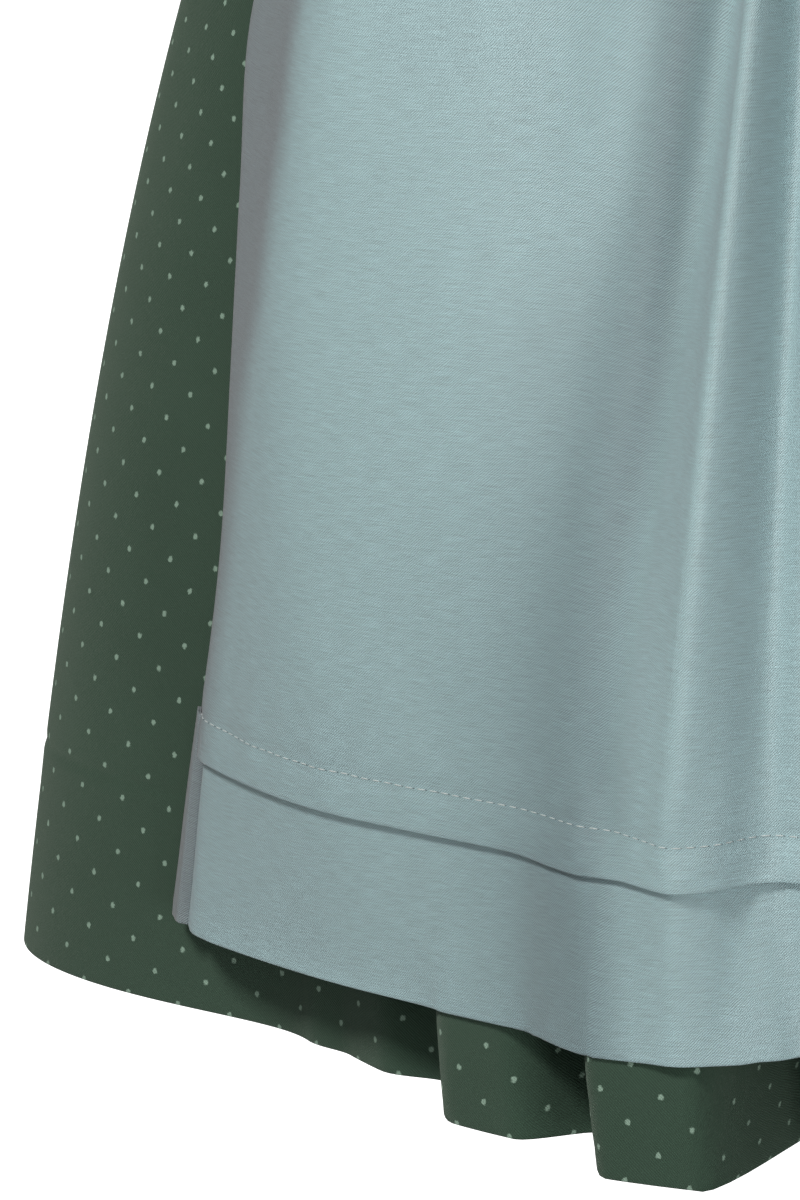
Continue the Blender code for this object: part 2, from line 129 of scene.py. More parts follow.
# %% Skirt form
SKIRT_FOLDS = (
    # foot_turn, foot_mm, rise_turn, fall_turn, crown_mm, lean
    (9.5, 206, 14.5, 21.5, 280, 6),
    (27.0, 236, 32.0, 37.5, 259, 7),
    (46.0, 228, 52.0, 57.0, 239, 5),
    (62.0, 245, 91.0, 95.0, 331, 0),
    (105.0, 264, 113.0, 119.0, 300, -2),
    (128.0, 240, 136.0, 141.0, 286, 0),
    (151.0, 226, 158.0, 164.0, 281, 2),
    (173.0, 222, 181.0, 188.0, 276, 0),
    (197.0, 226, 205.0, 209.0, 272, -2),
    (219.0, 236, 226.0, 232.0, 293, 0),
    (243.0, 250, 251.0, 256.0, 304, 2),
    (267.0, 279, 273.0, 279.0, 327, 0),
    (293.0, 256, 300.0, 304.0, 268, -3),
    (313.0, 230, 320.0, 326.0, 260, -4),
    (334.0, 224, 341.0, 346.0, 276, -4),
    (352.0, 222, 357.0, 363.0, 262, 0),
)
GATHERS = 100               # small gathers once round the waist
GATHER_HEIGHT = 1.5 * MM


def once_more_each_way(points):
    before = [(turn - 360, value) for turn, value in points]
    return before + points + [(turn + 360, value) for turn, value in points]


FOLD_RADII = once_more_each_way(
    [point for foot_turn, foot, rise, fall, crown, lean in SKIRT_FOLDS
     for point in ((foot_turn, foot), (rise, crown), (fall, crown))])
FOLD_LEANS = once_more_each_way([(row[2], row[5]) for row in SKIRT_FOLDS])


def oval(turn, half_width, half_depth):
    angle = np.radians(turn)
    return 1 / np.hypot(np.sin(angle) / half_width, np.cos(angle) / half_depth)


def swell(depth):
    """0 at the waist seam and 1 at the hem: how far the skirt has rounded out."""
    reach = SKIRT_LENGTH - FLAT_UNDER_BAND
    free = np.maximum(0.0, depth - FLAT_UNDER_BAND)
    return (1 - np.exp(-SWELL * free)) / (1 - math.exp(-SWELL * reach))


def mean_oval(turn, depth):
    full = swell(depth)
    return oval(turn, mix(WAIST_HALF_WIDTH, HEM_HALF_WIDTH, full),
                mix(WAIST_HALF_DEPTH, HEM_HALF_DEPTH, full))


def skirt_radius(turn, depth):
    climb = SKIRT_LENGTH - depth
    lean = soft_steps(FOLD_LEANS, turn % 360) * (1 - np.exp(-climb / 0.15))
    at_hem = soft_steps(FOLD_RADII, (turn - lean) % 360) * MM
    fold = at_hem - oval(turn, HEM_HALF_WIDTH, HEM_HALF_DEPTH)
    reach = np.maximum(0.0, depth - FLAT_UNDER_BAND) / (SKIRT_LENGTH - FLAT_UNDER_BAND)
    return mean_oval(turn, depth) + fold * reach ** 0.9


def at_turn(turn, radius, height):
    angle = np.radians(turn)
    return np.stack([-radius * np.sin(angle), -radius * np.cos(angle),
                     height + 0 * radius], axis=-1)


def gathers(turn, depth, count, seed):
    """Small gathers under a band, which melt into the pipes below."""
    phase = np.radians(turn) * count + 1.3 * ripple(turn, seed, 4, 0.05, 0.22)
    reach = ease((depth - 0.012) / 0.018) * np.exp(-np.maximum(0.0, depth - 0.03) / 0.075)
    uneven = 0.75 + 0.35 * ripple(turn, seed + 1, 3, 0.10, 0.35)
    return GATHER_HEIGHT * reach * uneven * (np.cos(phase) - 0.4)


print("skirt half width at the hem: %.3f" % float(skirt_radius(np.array(92.0), SKIRT_LENGTH)))

# %% [markdown]
# ## The apron's drape
# The apron is a flatter cloth. It bridges the skirt's narrow pipes and keeps a few long folds of its own,
# so it has its own table: how far its face stands out from the skirt's mean oval at five depths.
# Where that would sink into a pipe of the skirt, it lies on the pipe instead.

# %% Apron form
APRON_DEPTHS = (0.02, 0.16, 0.32, 0.57, 0.64)
APRON_SECTION = (
    # turn, at 20, at 160, at 320, at 570 mm, at the hem
    (-72, 2, 5, 4, -15, -18),
    (-62, 2, 6, 3, -12, -20),
    (-50, 2, 8, 6, -6, -14),
    (-38, 2, 9, 10, 4, -1),
    (-30, 2, 4, 6, 8, 6),
    (-22, 2, 11, 16, 22, 22),
    (-15, 2, 5, 7, 14, 15),
    (-7, 2, 9, 13, 15, 15),
    (3, 2, 10, 14, 15, 16),
    (10, 2, 7, 10, 16, 13),
    (14.5, 2, 7, 16, 30, 28),
    (19.5, 2, 7, 8, 31, 26),
    (26, 2, 3, 2, 19, 12),
    (34, 2, 7, 8, 5, -2),
    (43, 2, 11, 14, -4, -13),
    (52, 2, 9, 10, -9, -19),
    (61, 2, 5, 3, -11, -20),
    (72, 2, 5, 4, -15, -17),
)
APRON_EDGE = ((0.0, 62.0), (0.15, 69.0), (0.32, 71.5), (0.38, 68.4), (0.44, 66.3), (0.50, 65.9),
              (0.57, 68.8), (0.60, 69.7), (0.64, 70.2))
APRON_STANDOFF = 4.0 * MM
APRON_SOFTNESS = 2 * MM
BRIDGING = [(aside / 2, (abs(aside) * 0.8 + aside ** 2 * 0.025) * MM) for aside in range(-13, 14)]
APRON_GATHERS = 125         # as many as once round the waist would hold
APRON_TOP = 0.008
APRON_HEM_RISE = (0.044, 0.034)
TUCK_RISE = (0.058, 0.064)
TUCK_DEPTH = 0.015
BORDER_BEHIND = 2.6 * MM
SIDE_HEM = 9 * MM


def apron_offset(turn, depth):
    columns = list(zip(*APRON_SECTION))
    levels = [through(list(zip(columns[0], column)), turn) for column in columns[1:]]
    xs = np.array(APRON_DEPTHS)
    d = np.clip(depth + 0 * turn, xs[0], xs[-1])
    i = np.clip(np.searchsorted(xs, d, side="right") - 1, 0, len(xs) - 2)
    stack = np.stack([level + 0 * d for level in levels])
    slopes = np.gradient(stack, xs, axis=0)
    pick = lambda values, k: np.take_along_axis(values, k[None], axis=0)[0]
    span = xs[i + 1] - xs[i]
    f = (d - xs[i]) / span
    result = ((2 * f ** 3 - 3 * f ** 2 + 1) * pick(stack, i)
              + (f ** 3 - 2 * f ** 2 + f) * span * pick(slopes, i)
              + (3 * f ** 2 - 2 * f ** 3) * pick(stack, i + 1)
              + (f ** 3 - f ** 2) * span * pick(slopes, i + 1))
    return result * MM


# %% Long creases, placed on that drape
# Soft ridges are above 0 and troughs below it.
APRON_CREASES = (
    # turn high up, turn at the hem, height at 100, at 300, at 450 mm, at the hem, half width
    (55.0, 50.0, 5.0, 13.0, 12.0, 2.0, 9.0),
    (29.0, 31.0, -4.0, -12.0, -9.0, 0.0, 6.0),
    (20.8, 24.0, -5.0, -18.0, -14.0, -2.0, 3.4),
    (16.0, 17.0, 3.0, 10.0, 8.0, 2.0, 1.7),
    (12.6, 11.8, -5.0, -12.0, -12.0, -4.0, 1.9),
    (8.0, 5.5, 1.5, 2.5, 1.5, 0.5, 3.0),
    (1.0, -1.0, -1.5, -3.0, -3.0, -1.0, 2.6),
    (-6.0, -4.0, 1.5, 3.5, 2.5, 1.0, 3.0),
    (-14.0, -12.0, -2.5, -5.0, -4.0, -1.5, 2.6),
    (-22.5, -20.5, 2.0, 4.5, 3.0, 1.5, 2.8),
    (-31.0, -30.0, -2.0, -4.5, -3.0, -0.5, 3.4),
    (-42.0, -39.0, 1.5, 3.5, 2.5, 0.0, 6.0),
    (-56.0, -54.0, -1.0, -2.0, -1.5, 0.0, 5.0),
)
CREASE_DEPTHS = (0.10, 0.30, 0.45, 0.64)
PRESS = 38 * MM             # how far the apron may press the skirt's pipes in


def creases(turn, depth):
    total = np.zeros_like(turn + depth)
    for high_turn, hem_turn, *heights, width in APRON_CREASES:
        place = mix(high_turn, hem_turn, np.clip((depth - 0.30) / 0.34, -0.5, 1.0))
        height = through([(0.02, 0.0), *zip(CREASE_DEPTHS, heights)], depth) * MM
        total = total + height * np.exp(-((turn - place) / width) ** 2)
    return total


def pressing(depth):
    return PRESS * ease((depth - 0.04) / 0.12) * (1 - ease((depth - 0.46) / 0.13))


def apron_radius(turn, depth):
    drape = mean_oval(turn, depth) + apron_offset(turn, depth) + creases(turn, depth)
    bridging = np.minimum(1.0, depth / 0.10)
    crest = np.max([skirt_radius(turn + aside * bridging, depth) - lower * bridging
                    for aside, lower in BRIDGING], axis=0)
    clear = crest + APRON_STANDOFF - pressing(depth)
    return (drape + clear + np.hypot(drape - clear, APRON_SOFTNESS)) / 2


def apron_hem_depth(side):
    return SKIRT_LENGTH - mix(*APRON_HEM_RISE, np.abs(side))


def tuck_fold_depth(side):
    return apron_hem_depth(side) - mix(*TUCK_RISE, np.abs(side))


def apron_face(turn, depth):
    """A point on the apron's face, before its side hems are turned."""
    radius = apron_radius(turn, depth) + gathers(turn, depth, APRON_GATHERS, 31)
    return at_turn(turn, radius, WAIST_Z - depth)


# %% [markdown]
# ## The apron's side edges
# Each side edge is turned under in a flat 9 mm hem. High up the wearer's right hem lies flat and faces the
# front. Lower down the panel rolls over it and hides it, so the edge of the apron there is a soft roll.
# Two short outlines give the cut through the edge, one flat and one rolled over, and each row of the grid
# takes a blend of the two.

# %% Edge outlines
EDGE_FLAT = ((0, -2.6), (3, -2.6), (6, -2.5), (8.6, -2.4), (9.4, -1.8), (10.2, -1.0), (11.4, -0.4),
             (13.5, 0), (20, 0), (32, 0))
EDGE_ROLLED = ((0.9, -3.4), (4.5, -3.6), (8.0, -3.4), (9.3, -2.7), (7.5, -2.1), (3.5, -1.7), (0.2, -1.1),
               (0.9, -0.1), (12, 0), (32, 0))
EDGE_COLUMNS = 40
EDGE_REACH = 32 * MM
EDGE_BEND = 0.46            # slope of the bend back near each edge
BEND_REACH = 21 * MM
BEND_SOFTNESS = 3 * MM
EDGE_BEYOND = 2.2           # degrees the cloth runs past its edge's outline before it bends back
ROLL_DEPTHS = (0.355, 0.455)


def edge_cut(rolled):
    """Distances in from the edge and out from the face, for rows with this much roll (0 to 1)."""
    at = np.linspace(0, len(EDGE_FLAT) - 1, EDGE_COLUMNS)
    flat, over = (np.array([through(list(enumerate(column)), at) for column in zip(*outline)]) * MM
                  for outline in (EDGE_FLAT, EDGE_ROLLED))
    return [flat[k][None] + (over[k] - flat[k])[None] * rolled[:, None] for k in range(2)]


def apron_grid(depths, columns):
    """Rows of apron points from the wearer's right edge to the left, for a grid of depths."""
    edge = through(APRON_EDGE, depths[:, 0]) + EDGE_BEYOND
    sides = []
    for sign, rolled in ((1, ease((depths[:, 0] - ROLL_DEPTHS[0]) / (ROLL_DEPTHS[1] - ROLL_DEPTHS[0]))),
                         (-1, 0.6 * ease((depths[:, -1] - 0.40) / 0.15))):
        own = depths[:, 0] if sign > 0 else depths[:, -1]
        step = apron_face(sign * (edge + 0.5), own) - apron_face(sign * (edge - 0.5), own)
        per_degree = np.linalg.norm(step, axis=-1)
        out = np.stack([step[:, 1], -step[:, 0], 0 * step[:, 2]], axis=-1) * -sign
        out /= np.linalg.norm(out, axis=-1, keepdims=True)
        inward, lift = edge_cut(rolled)
        turn = sign * (edge[:, None] - inward / per_degree[:, None])
        past = BEND_REACH - inward
        bent = EDGE_BEND * (past + np.hypot(past, BEND_SOFTNESS)) / 2
        face = apron_face(turn, np.repeat(own[:, None], EDGE_COLUMNS, axis=1))
        face += out[:, None] * (lift - bent)[..., None]
        sides.append(face if sign > 0 else face[:, ::-1])
        if sign > 0:
            inner = edge - EDGE_REACH / per_degree
    share = np.linspace(1, -1, columns)[1:-1]
    middle = apron_face(inner[:, None] * share[None], middle_depths(depths, len(share)))
    return np.concatenate([sides[0], middle, sides[1]], axis=1)


def middle_depths(depths, count):
    """The same grid of depths read at another number of columns."""
    at = np.linspace(0, depths.shape[1] - 1, count)
    low = np.floor(at).astype(int)
    high = np.minimum(low + 1, depths.shape[1] - 1)
    return mix(depths[:, low], depths[:, high], (at - low)[None])


print("apron hem round the front: %.3f deep" % float(apron_hem_depth(np.array(0.0))))


# %% [markdown]
# ## Making a sheet of cloth
# A sheet starts as a grid of points that a form function puts in place. Where an edge is hemmed the same
# grid turns under and runs back behind itself, so hems and the tuck are truly doubled cloth.
# Each sheet carries two UV maps in metres: one follows the cloth's own threads for the weave, and one
# follows the flare for the spots, which draw together towards the waist as the gathers take up the width.

# %% Sheet helpers
def normals_of(points):
    """Outward normals of a (rows, columns, 3) grid."""
    along = np.gradient(points, axis=1)
    up = np.gradient(points, axis=0)
    normal = np.cross(along, up)
    return normal / np.maximum(1e-12, np.linalg.norm(normal, axis=-1, keepdims=True))


def turned_under(points, rows, gap):
    """The grid with its lowest rows repeated behind it, joined by a small round fold."""
    normal = normals_of(points)
    behind = points[:rows] - normal[:rows] * gap
    down = points[0] - points[1]
    down /= np.linalg.norm(down, axis=-1, keepdims=True)
    turn = [points[0] - normal[0] * gap * (0.5 - 0.5 * math.cos(a)) + down * gap * 0.5 * math.sin(a)
            for a in (2.36, 1.57, 0.79)]
    return np.concatenate([behind[::-1], np.array(turn), points])


def lengths_along(points, axis):
    """Distance along rows (axis 1) or columns (axis 0), starting at 0."""
    step = np.linalg.norm(np.diff(points, axis=axis), axis=-1)
    pad = [(0, 0), (0, 0)]
    pad[axis] = (1, 0)
    return np.pad(np.cumsum(step, axis=axis), pad)


def sheet_mesh(name, points, finish, wall, spot_row=0):
    """A thin cloth from a grid of points, with its UV maps and its wall on the inner side."""
    rows, columns = points.shape[:2]
    mesh = bpy.data.meshes.new(name)
    index = np.arange(rows * columns).reshape(rows, columns)
    quads = np.stack([index[:-1, :-1], index[:-1, 1:], index[1:, 1:], index[1:, :-1]], axis=-1)
    quads = quads.reshape(-1, 4)
    mesh.vertices.add(rows * columns)
    mesh.vertices.foreach_set("co", points.reshape(-1).astype(np.float32))
    mesh.loops.add(quads.size)
    mesh.loops.foreach_set("vertex_index", quads.reshape(-1).astype(np.int32))
    mesh.polygons.add(len(quads))
    mesh.polygons.foreach_set("loop_start", np.arange(0, quads.size, 4, dtype=np.int32))
    mesh.update(calc_edges=True)
    across = lengths_along(points, 1)
    across -= across[:, columns // 2][:, None]
    up = lengths_along(points, 0)
    spot_across = np.repeat(across[spot_row][None], rows, axis=0)
    maps = {"threads": (across, up),
            "spots": (spot_across, up - up[spot_row])}
    for title, (u, v) in maps.items():
        layer = mesh.uv_layers.new(name=title)
        pairs = np.stack([u.reshape(-1)[quads], v.reshape(-1)[quads]], axis=-1)
        layer.data.foreach_set("uv", pairs.reshape(-1).astype(np.float32))
    shown = np.gradient(across, axis=1) / np.maximum(1e-9, np.gradient(spot_across, axis=1))
    squeeze = mesh.attributes.new("squeeze", "FLOAT", "POINT")
    squeeze.data.foreach_set("value", np.clip(shown, 0.3, 1.5).reshape(-1).astype(np.float32))
    mesh.shade_smooth()
    piece = bpy.data.objects.new(name, mesh)
    bpy.context.scene.collection.objects.link(piece)
    mesh.materials.append(finish)
    solid = piece.modifiers.new("wall", "SOLIDIFY")
    solid.thickness = wall
    solid.offset = -1
    return piece


def spaced(first, last, count, fine_ends=()):
    """Even places from first to last, with a few close ones added near each end."""
    places = list(np.linspace(first, last, count))
    sign = 1 if last > first else -1
    for gap in fine_ends:
        places += [first + sign * gap, last - sign * gap]
    return np.array(sorted(places, reverse=last < first))


# %% [markdown]
# ## Weave and spots as node groups
# Both cloths are twills: each thread passes over two and under one, a step further along in every row, and
# that shows as fine diagonal ribs. One node group makes the ribs with the threads' own unevenness, and
# each material gives it its own rib spacing and lean. A second group makes the spots of the dress cloth,
# and a third the slow change in shade that any piece of worn cloth has.

# %% Node helpers
def new_group(name, inputs, outputs):
    tree = bpy.data.node_groups.new(name, "ShaderNodeTree")
    for title, kind, value in inputs:
        socket = tree.interface.new_socket(title, in_out="INPUT", socket_type=kind)
        if value is not None:
            socket.default_value = value
    for title, kind in outputs:
        tree.interface.new_socket(title, in_out="OUTPUT", socket_type=kind)
    return tree, tree.nodes.new("NodeGroupInput"), tree.nodes.new("NodeGroupOutput")


def calc(tree, operation, *values):
    """A Math node; each value is a number or a socket."""
    node = tree.nodes.new("ShaderNodeMath")
    node.operation = operation
    for slot, value in zip(node.inputs, values):
        if isinstance(value, (int, float)):
            slot.default_value = value
        else:
            tree.links.new(value, slot)
    return node.outputs[0]


def noise(tree, vector, scale, detail=2.0, roughness=0.5):
    node = tree.nodes.new("ShaderNodeTexNoise")
    node.inputs["Scale"].default_value = scale
    node.inputs["Detail"].default_value = detail
    node.inputs["Roughness"].default_value = roughness
    tree.links.new(vector, node.inputs["Vector"])
    return node.outputs["Fac"]


def stretched(tree, vector, factors):
    node = tree.nodes.new("ShaderNodeVectorMath")
    node.operation = "MULTIPLY"
    node.inputs[1].default_value = factors
    tree.links.new(vector, node.inputs[0])
    return node.outputs[0]


# %% The twill group
def make_twill_group():
    tree, given, out = new_group(
        "twill",
        [("Threads", "NodeSocketVector", None), ("Rib spacing mm", "NodeSocketFloat", 0.9),
         ("Lean", "NodeSocketFloat", 0.8), ("Slubs", "NodeSocketFloat", 0.3)],
        [("Height", "NodeSocketFloat"), ("Rib", "NodeSocketFloat"), ("Slub", "NodeSocketFloat")])
    in_mm = stretched(tree, given.outputs["Threads"], (1000, 1000, 1000))
    split = tree.nodes.new("ShaderNodeSeparateXYZ")
    tree.links.new(in_mm, split.inputs[0])
    wander = calc(tree, "MULTIPLY", noise(tree, in_mm, 0.35), 0.7)
    slant = calc(tree, "MULTIPLY", split.outputs["Y"], given.outputs["Lean"])
    run = calc(tree, "ADD", calc(tree, "ADD", split.outputs["X"], slant), wander)
    turns = calc(tree, "MULTIPLY", calc(tree, "DIVIDE", run, given.outputs["Rib spacing mm"]), math.tau)
    rib = calc(tree, "ADD", calc(tree, "MULTIPLY", calc(tree, "COSINE", turns), 0.5), 0.5)
    weft = noise(tree, stretched(tree, in_mm, (0.10, 1.9, 1.0)), 1.0, 3.0, 0.6)
    fibre = noise(tree, in_mm, 2.6, 2.0, 0.7)
    slub = calc(tree, "MULTIPLY", calc(tree, "SUBTRACT", weft, 0.5), given.outputs["Slubs"])
    rough = calc(tree, "MULTIPLY", calc(tree, "SUBTRACT", fibre, 0.5), 0.8)
    height = calc(tree, "ADD", calc(tree, "ADD", calc(tree, "MULTIPLY", rib, 0.7), slub), rough)
    tree.links.new(height, out.inputs["Height"])
    tree.links.new(calc(tree, "ADD", rib, rough), out.inputs["Rib"])
    tree.links.new(slub, out.inputs["Slub"])
    return tree


# %% The spots group
def make_spots_group():
    tree, given, out = new_group(
        "spots",
        [("Spots", "NodeSocketVector", None), ("Squeeze", "NodeSocketFloat", 1.0),
         ("Across mm", "NodeSocketFloat", 23.0), ("Along mm", "NodeSocketFloat", 19.7),
         ("Radius mm", "NodeSocketFloat", 0.95)],
        [("Mask", "NodeSocketFloat")])
    in_mm = stretched(tree, given.outputs["Spots"], (1000, 1000, 1000))
    split = tree.nodes.new("ShaderNodeSeparateXYZ")
    tree.links.new(in_mm, split.inputs[0])
    across = calc(tree, "DIVIDE", split.outputs["X"], given.outputs["Across mm"])
    along = calc(tree, "DIVIDE", split.outputs["Y"], given.outputs["Along mm"])
    frayed = calc(tree, "MULTIPLY", calc(tree, "SUBTRACT", noise(tree, in_mm, 1.1), 0.5), 1.3)

    def nearest(shift):
        x = calc(tree, "SUBTRACT", calc(tree, "FRACT", calc(tree, "ADD", across, shift)), 0.5)
        y = calc(tree, "SUBTRACT", calc(tree, "FRACT", calc(tree, "ADD", along, shift)), 0.5)
        x = calc(tree, "MULTIPLY", calc(tree, "MULTIPLY", x, given.outputs["Across mm"]),
                 given.outputs["Squeeze"])
        y = calc(tree, "MULTIPLY", calc(tree, "MULTIPLY", y, given.outputs["Along mm"]), 0.94)
        square = calc(tree, "ADD", calc(tree, "MULTIPLY", x, x), calc(tree, "MULTIPLY", y, y))
        return calc(tree, "SQRT", square)

    away = calc(tree, "ADD", calc(tree, "MINIMUM", nearest(0.0), nearest(0.5)), frayed)
    inside = calc(tree, "SUBTRACT", given.outputs["Radius mm"], away)
    mask = tree.nodes.new("ShaderNodeMapRange")
    mask.interpolation_type = "SMOOTHSTEP"
    mask.inputs["From Min"].default_value = -0.28
    mask.inputs["From Max"].default_value = 0.28
    tree.links.new(inside, mask.inputs["Value"])
    tree.links.new(mask.outputs["Result"], out.inputs["Mask"])
    return tree


# %% The shade group
def make_shade_group():
    tree, given, out = new_group(
        "uneven_shade",
        [("Threads", "NodeSocketVector", None), ("Amount", "NodeSocketFloat", 0.08)],
        [("Shade", "NodeSocketFloat")])
    slow = noise(tree, given.outputs["Threads"], 22.0, 4.0, 0.55)
    change = calc(tree, "MULTIPLY", calc(tree, "SUBTRACT", slow, 0.5), given.outputs["Amount"])
    tree.links.new(calc(tree, "ADD", 1.0, change), out.inputs["Shade"])
    return tree


TWILL = make_twill_group()
SPOTS = make_spots_group()
SHADE = make_shade_group()
print("node groups:", [group.name for group in (TWILL, SPOTS, SHADE)])


# %% [markdown]
# ## The two cloths, the thread and the metal
# The dress cloth is matt and fuzzy, so it is rough with a little sheen. The apron is a shot twill: its
# warp is pale blue-green and its weft pinkish grey, so the ribs mix two colours and a rosy sheen shows
# where the cloth turns away. The sheen is a fixed value on the shader itself. The apron's colour also
# carries painted shade: a rosy darkening along the turned side edges and a darkening in the long trough.

# %% Material helpers
def start_material(name, **sockets):
    made = bpy.data.materials.new(name)
    made.use_nodes = True
    shader = made.node_tree.nodes["Principled BSDF"]
    for title, value in sockets.items():
        shader.inputs[title.replace("_", " ")].default_value = value
    return made, made.node_tree, shader


def use_group(tree, group, links=(), **values):
    node = tree.nodes.new("ShaderNodeGroup")
    node.node_tree = group
    for title, value in values.items():
        node.inputs[title.replace("_", " ")].default_value = value
    for title, socket in links:
        tree.links.new(socket, node.inputs[title])
    return node


def uv_of(tree, title):
    node = tree.nodes.new("ShaderNodeUVMap")
    node.uv_map = title
    return node.outputs["UV"]


def colour_mix(tree, factor, one, two, blend="MIX"):
    node = tree.nodes.new("ShaderNodeMix")
    node.data_type = "RGBA"
    node.blend_type = blend
    for slot, value in ((node.inputs["Factor"], factor), (node.inputs[6], one), (node.inputs[7], two)):
        if isinstance(value, (int, float, tuple)):
            slot.default_value = value
        else:
            tree.links.new(value, slot)
    return node.outputs[2]


def bump(tree, height, distance, strength=1.0):
    node = tree.nodes.new("ShaderNodeBump")
    node.inputs["Distance"].default_value = distance
    node.inputs["Strength"].default_value = strength
    tree.links.new(height, node.inputs["Height"])
    return node.outputs["Normal"]


def clamped(tree, value):
    return calc(tree, "MINIMUM", calc(tree, "MAXIMUM", value, 0.0), 1.0)


# %% Dress cloth
DEEP_GREEN = (0.034, 0.060, 0.040, 1)
GREEN = (0.045, 0.090, 0.060, 1)
SPOT_GREEN = (0.30, 0.43, 0.34, 1)


def make_dress_cloth():
    made, tree, shader = start_material(
        "dress_cloth", Roughness=0.88, Sheen_Weight=0.22, Sheen_Roughness=0.45,
        Sheen_Tint=(0.62, 0.72, 0.60, 1), Specular_IOR_Level=0.22)
    threads = uv_of(tree, "threads")
    twill = use_group(tree, TWILL, [("Threads", threads)], Rib_spacing_mm=1.25, Lean=0.95, Slubs=0.25)
    shade = use_group(tree, SHADE, [("Threads", threads)], Amount=0.22)
    squeeze = tree.nodes.new("ShaderNodeAttribute")
    squeeze.attribute_name = "squeeze"
    spots = use_group(tree, SPOTS, [("Spots", uv_of(tree, "spots")), ("Squeeze", squeeze.outputs["Fac"])])
    ground = colour_mix(tree, clamped(tree, twill.outputs["Rib"]), DEEP_GREEN, GREEN)
    shaded = colour_mix(tree, 1.0, ground, shade.outputs["Shade"], "MULTIPLY")
    faded = calc(tree, "MULTIPLY", spots.outputs["Mask"], 0.85)
    tree.links.new(colour_mix(tree, faded, shaded, SPOT_GREEN), shader.inputs["Base Color"])
    tree.links.new(bump(tree, twill.outputs["Height"], 0.00025, 0.8), shader.inputs["Normal"])
    return made


# %% Apron cloth
WARP = (0.46, 0.67, 0.70, 1)
WEFT = (0.20, 0.235, 0.24, 1)
# Painted shade: colours multiplied in along the turned side edges (painted shade with a rosy cast of painted
# sheen) and in the long trough.
TURNED_EDGE_PAINTED_SHADE = (0.68, 0.58, 0.585, 1)
TROUGH_PAINTED_SHADE = (0.60, 0.60, 0.61, 1)


def make_apron_cloth():
    made, tree, shader = start_material(
        "apron_cloth", Roughness=0.47, Sheen_Weight=0.30, Sheen_Roughness=0.30,
        Sheen_Tint=(0.90, 0.66, 0.70, 1), Specular_IOR_Level=0.62)
    threads = uv_of(tree, "threads")
    twill = use_group(tree, TWILL, [("Threads", threads)], Rib_spacing_mm=0.98, Lean=-1.0, Slubs=0.8)
    shade = use_group(tree, SHADE, [("Threads", threads)], Amount=0.10)
    ribs = clamped(tree, calc(tree, "ADD", calc(tree, "MULTIPLY", twill.outputs["Rib"], 0.55),
                              calc(tree, "ADD", twill.outputs["Slub"], 0.35)))
    ground = colour_mix(tree, ribs, WEFT, WARP)
    shaded = colour_mix(tree, 1.0, ground, shade.outputs["Shade"], "MULTIPLY")
    # Painted shade: two mesh marks darken the colour along the turned side edges, with a rosy cast of painted
    # sheen, and in the long trough.
    turned = tree.nodes.new("ShaderNodeAttribute")
    turned.attribute_name = "turned"
    shaded = colour_mix(tree, turned.outputs["Fac"], shaded, TURNED_EDGE_PAINTED_SHADE, "MULTIPLY")
    trough = tree.nodes.new("ShaderNodeAttribute")
    trough.attribute_name = "trough"
    shaded = colour_mix(tree, trough.outputs["Fac"], shaded, TROUGH_PAINTED_SHADE, "MULTIPLY")
    tree.links.new(shaded, shader.inputs["Base Color"])
    tree.links.new(bump(tree, twill.outputs["Height"], 0.00022, 0.8), shader.inputs["Normal"])
    return made


# %% Thread and metal
def make_thread(name, colour):
    made, tree, shader = start_material(name, Roughness=0.6, Sheen_Weight=0.3)
    where = tree.nodes.new("ShaderNodeTexCoord").outputs["Object"]
    ply = noise(tree, where, 3000.0)
    dark = tuple(c * 0.72 for c in colour[:3]) + (1,)
    tree.links.new(colour_mix(tree, ply, dark, colour), shader.inputs["Base Color"])
    return made


def make_metal():
    made, tree, shader = start_material("button_metal", Metallic=1.0)
    where = tree.nodes.new("ShaderNodeTexCoord").outputs["Object"]
    worn = noise(tree, where, 420.0, 4.0, 0.6)
    tree.links.new(colour_mix(tree, worn, (0.30, 0.28, 0.25, 1), (0.62, 0.60, 0.56, 1)),
                   shader.inputs["Base Color"])
    tree.links.new(calc(tree, "ADD", 0.24, calc(tree, "MULTIPLY", worn, 0.3)), shader.inputs["Roughness"])
    tree.links.new(bump(tree, worn, 0.0002, 0.4), shader.inputs["Normal"])
    return made


dress_cloth = make_dress_cloth()
apron_cloth = make_apron_cloth()
apron_thread = make_thread("apron_thread", (0.66, 0.72, 0.71, 1))
needle_shadow = make_thread("needle_shadow", (0.16, 0.21, 0.22, 1))
dress_thread = make_thread("dress_thread", (0.06, 0.10, 0.07, 1))
button_metal = make_metal()
print("materials:", [m.name for m in (dress_cloth, apron_cloth, apron_thread, dress_thread, button_metal)])


# %% [markdown]
# ## Skirt
# The skirt is made in two halves that meet at the side seams, where the cloth rolls in a little. Its hem
# is turned up about 75 mm inside, and the blind stitches that hold it leave a faint line on the face.

# %% Skirt front and back
SIDE_SEAM_TURN = (93.0, 276.0)
HEM_ALLOWANCE = 0.075
HEM_FOLD = 1.3 * MM
BEHIND_APRON = 3.2 * MM     # the skirt's face lies at least this far behind the apron's
DRESS_WALL = 0.6 * MM


def under_apron(turn, depth, radius):
    """Where the apron lies on the skirt it presses the pipes in, and never below the apron's hem."""
    near = turn - 360 * np.round(turn / 360)
    cover = ease((through(APRON_EDGE, depth) - np.abs(near)) / 5)
    room = apron_radius(near, depth) + gathers(near, depth, APRON_GATHERS, 31) - BEHIND_APRON
    return mix(radius, np.minimum(radius, room), cover * (1 - ease((depth - 0.58) / 0.03)))


def skirt_face(turn, depth):
    radius = skirt_radius(turn, depth) + gathers(turn, depth, GATHERS, 11)
    soft = 1.6 * MM * ripple(turn, 17, 5, 0.25, 0.7) * ease(depth / 0.12) * ease((0.60 - depth) / 0.3)
    above_hem = SKIRT_LENGTH - depth - HEM_ALLOWANCE
    line = (-0.45 * MM * np.exp(-(above_hem / 0.0016) ** 2)
            + 0.25 * MM * np.exp(-((above_hem + 0.005) / 0.003) ** 2))
    return at_turn(turn, under_apron(turn, depth, radius + soft + line), WAIST_Z - depth)


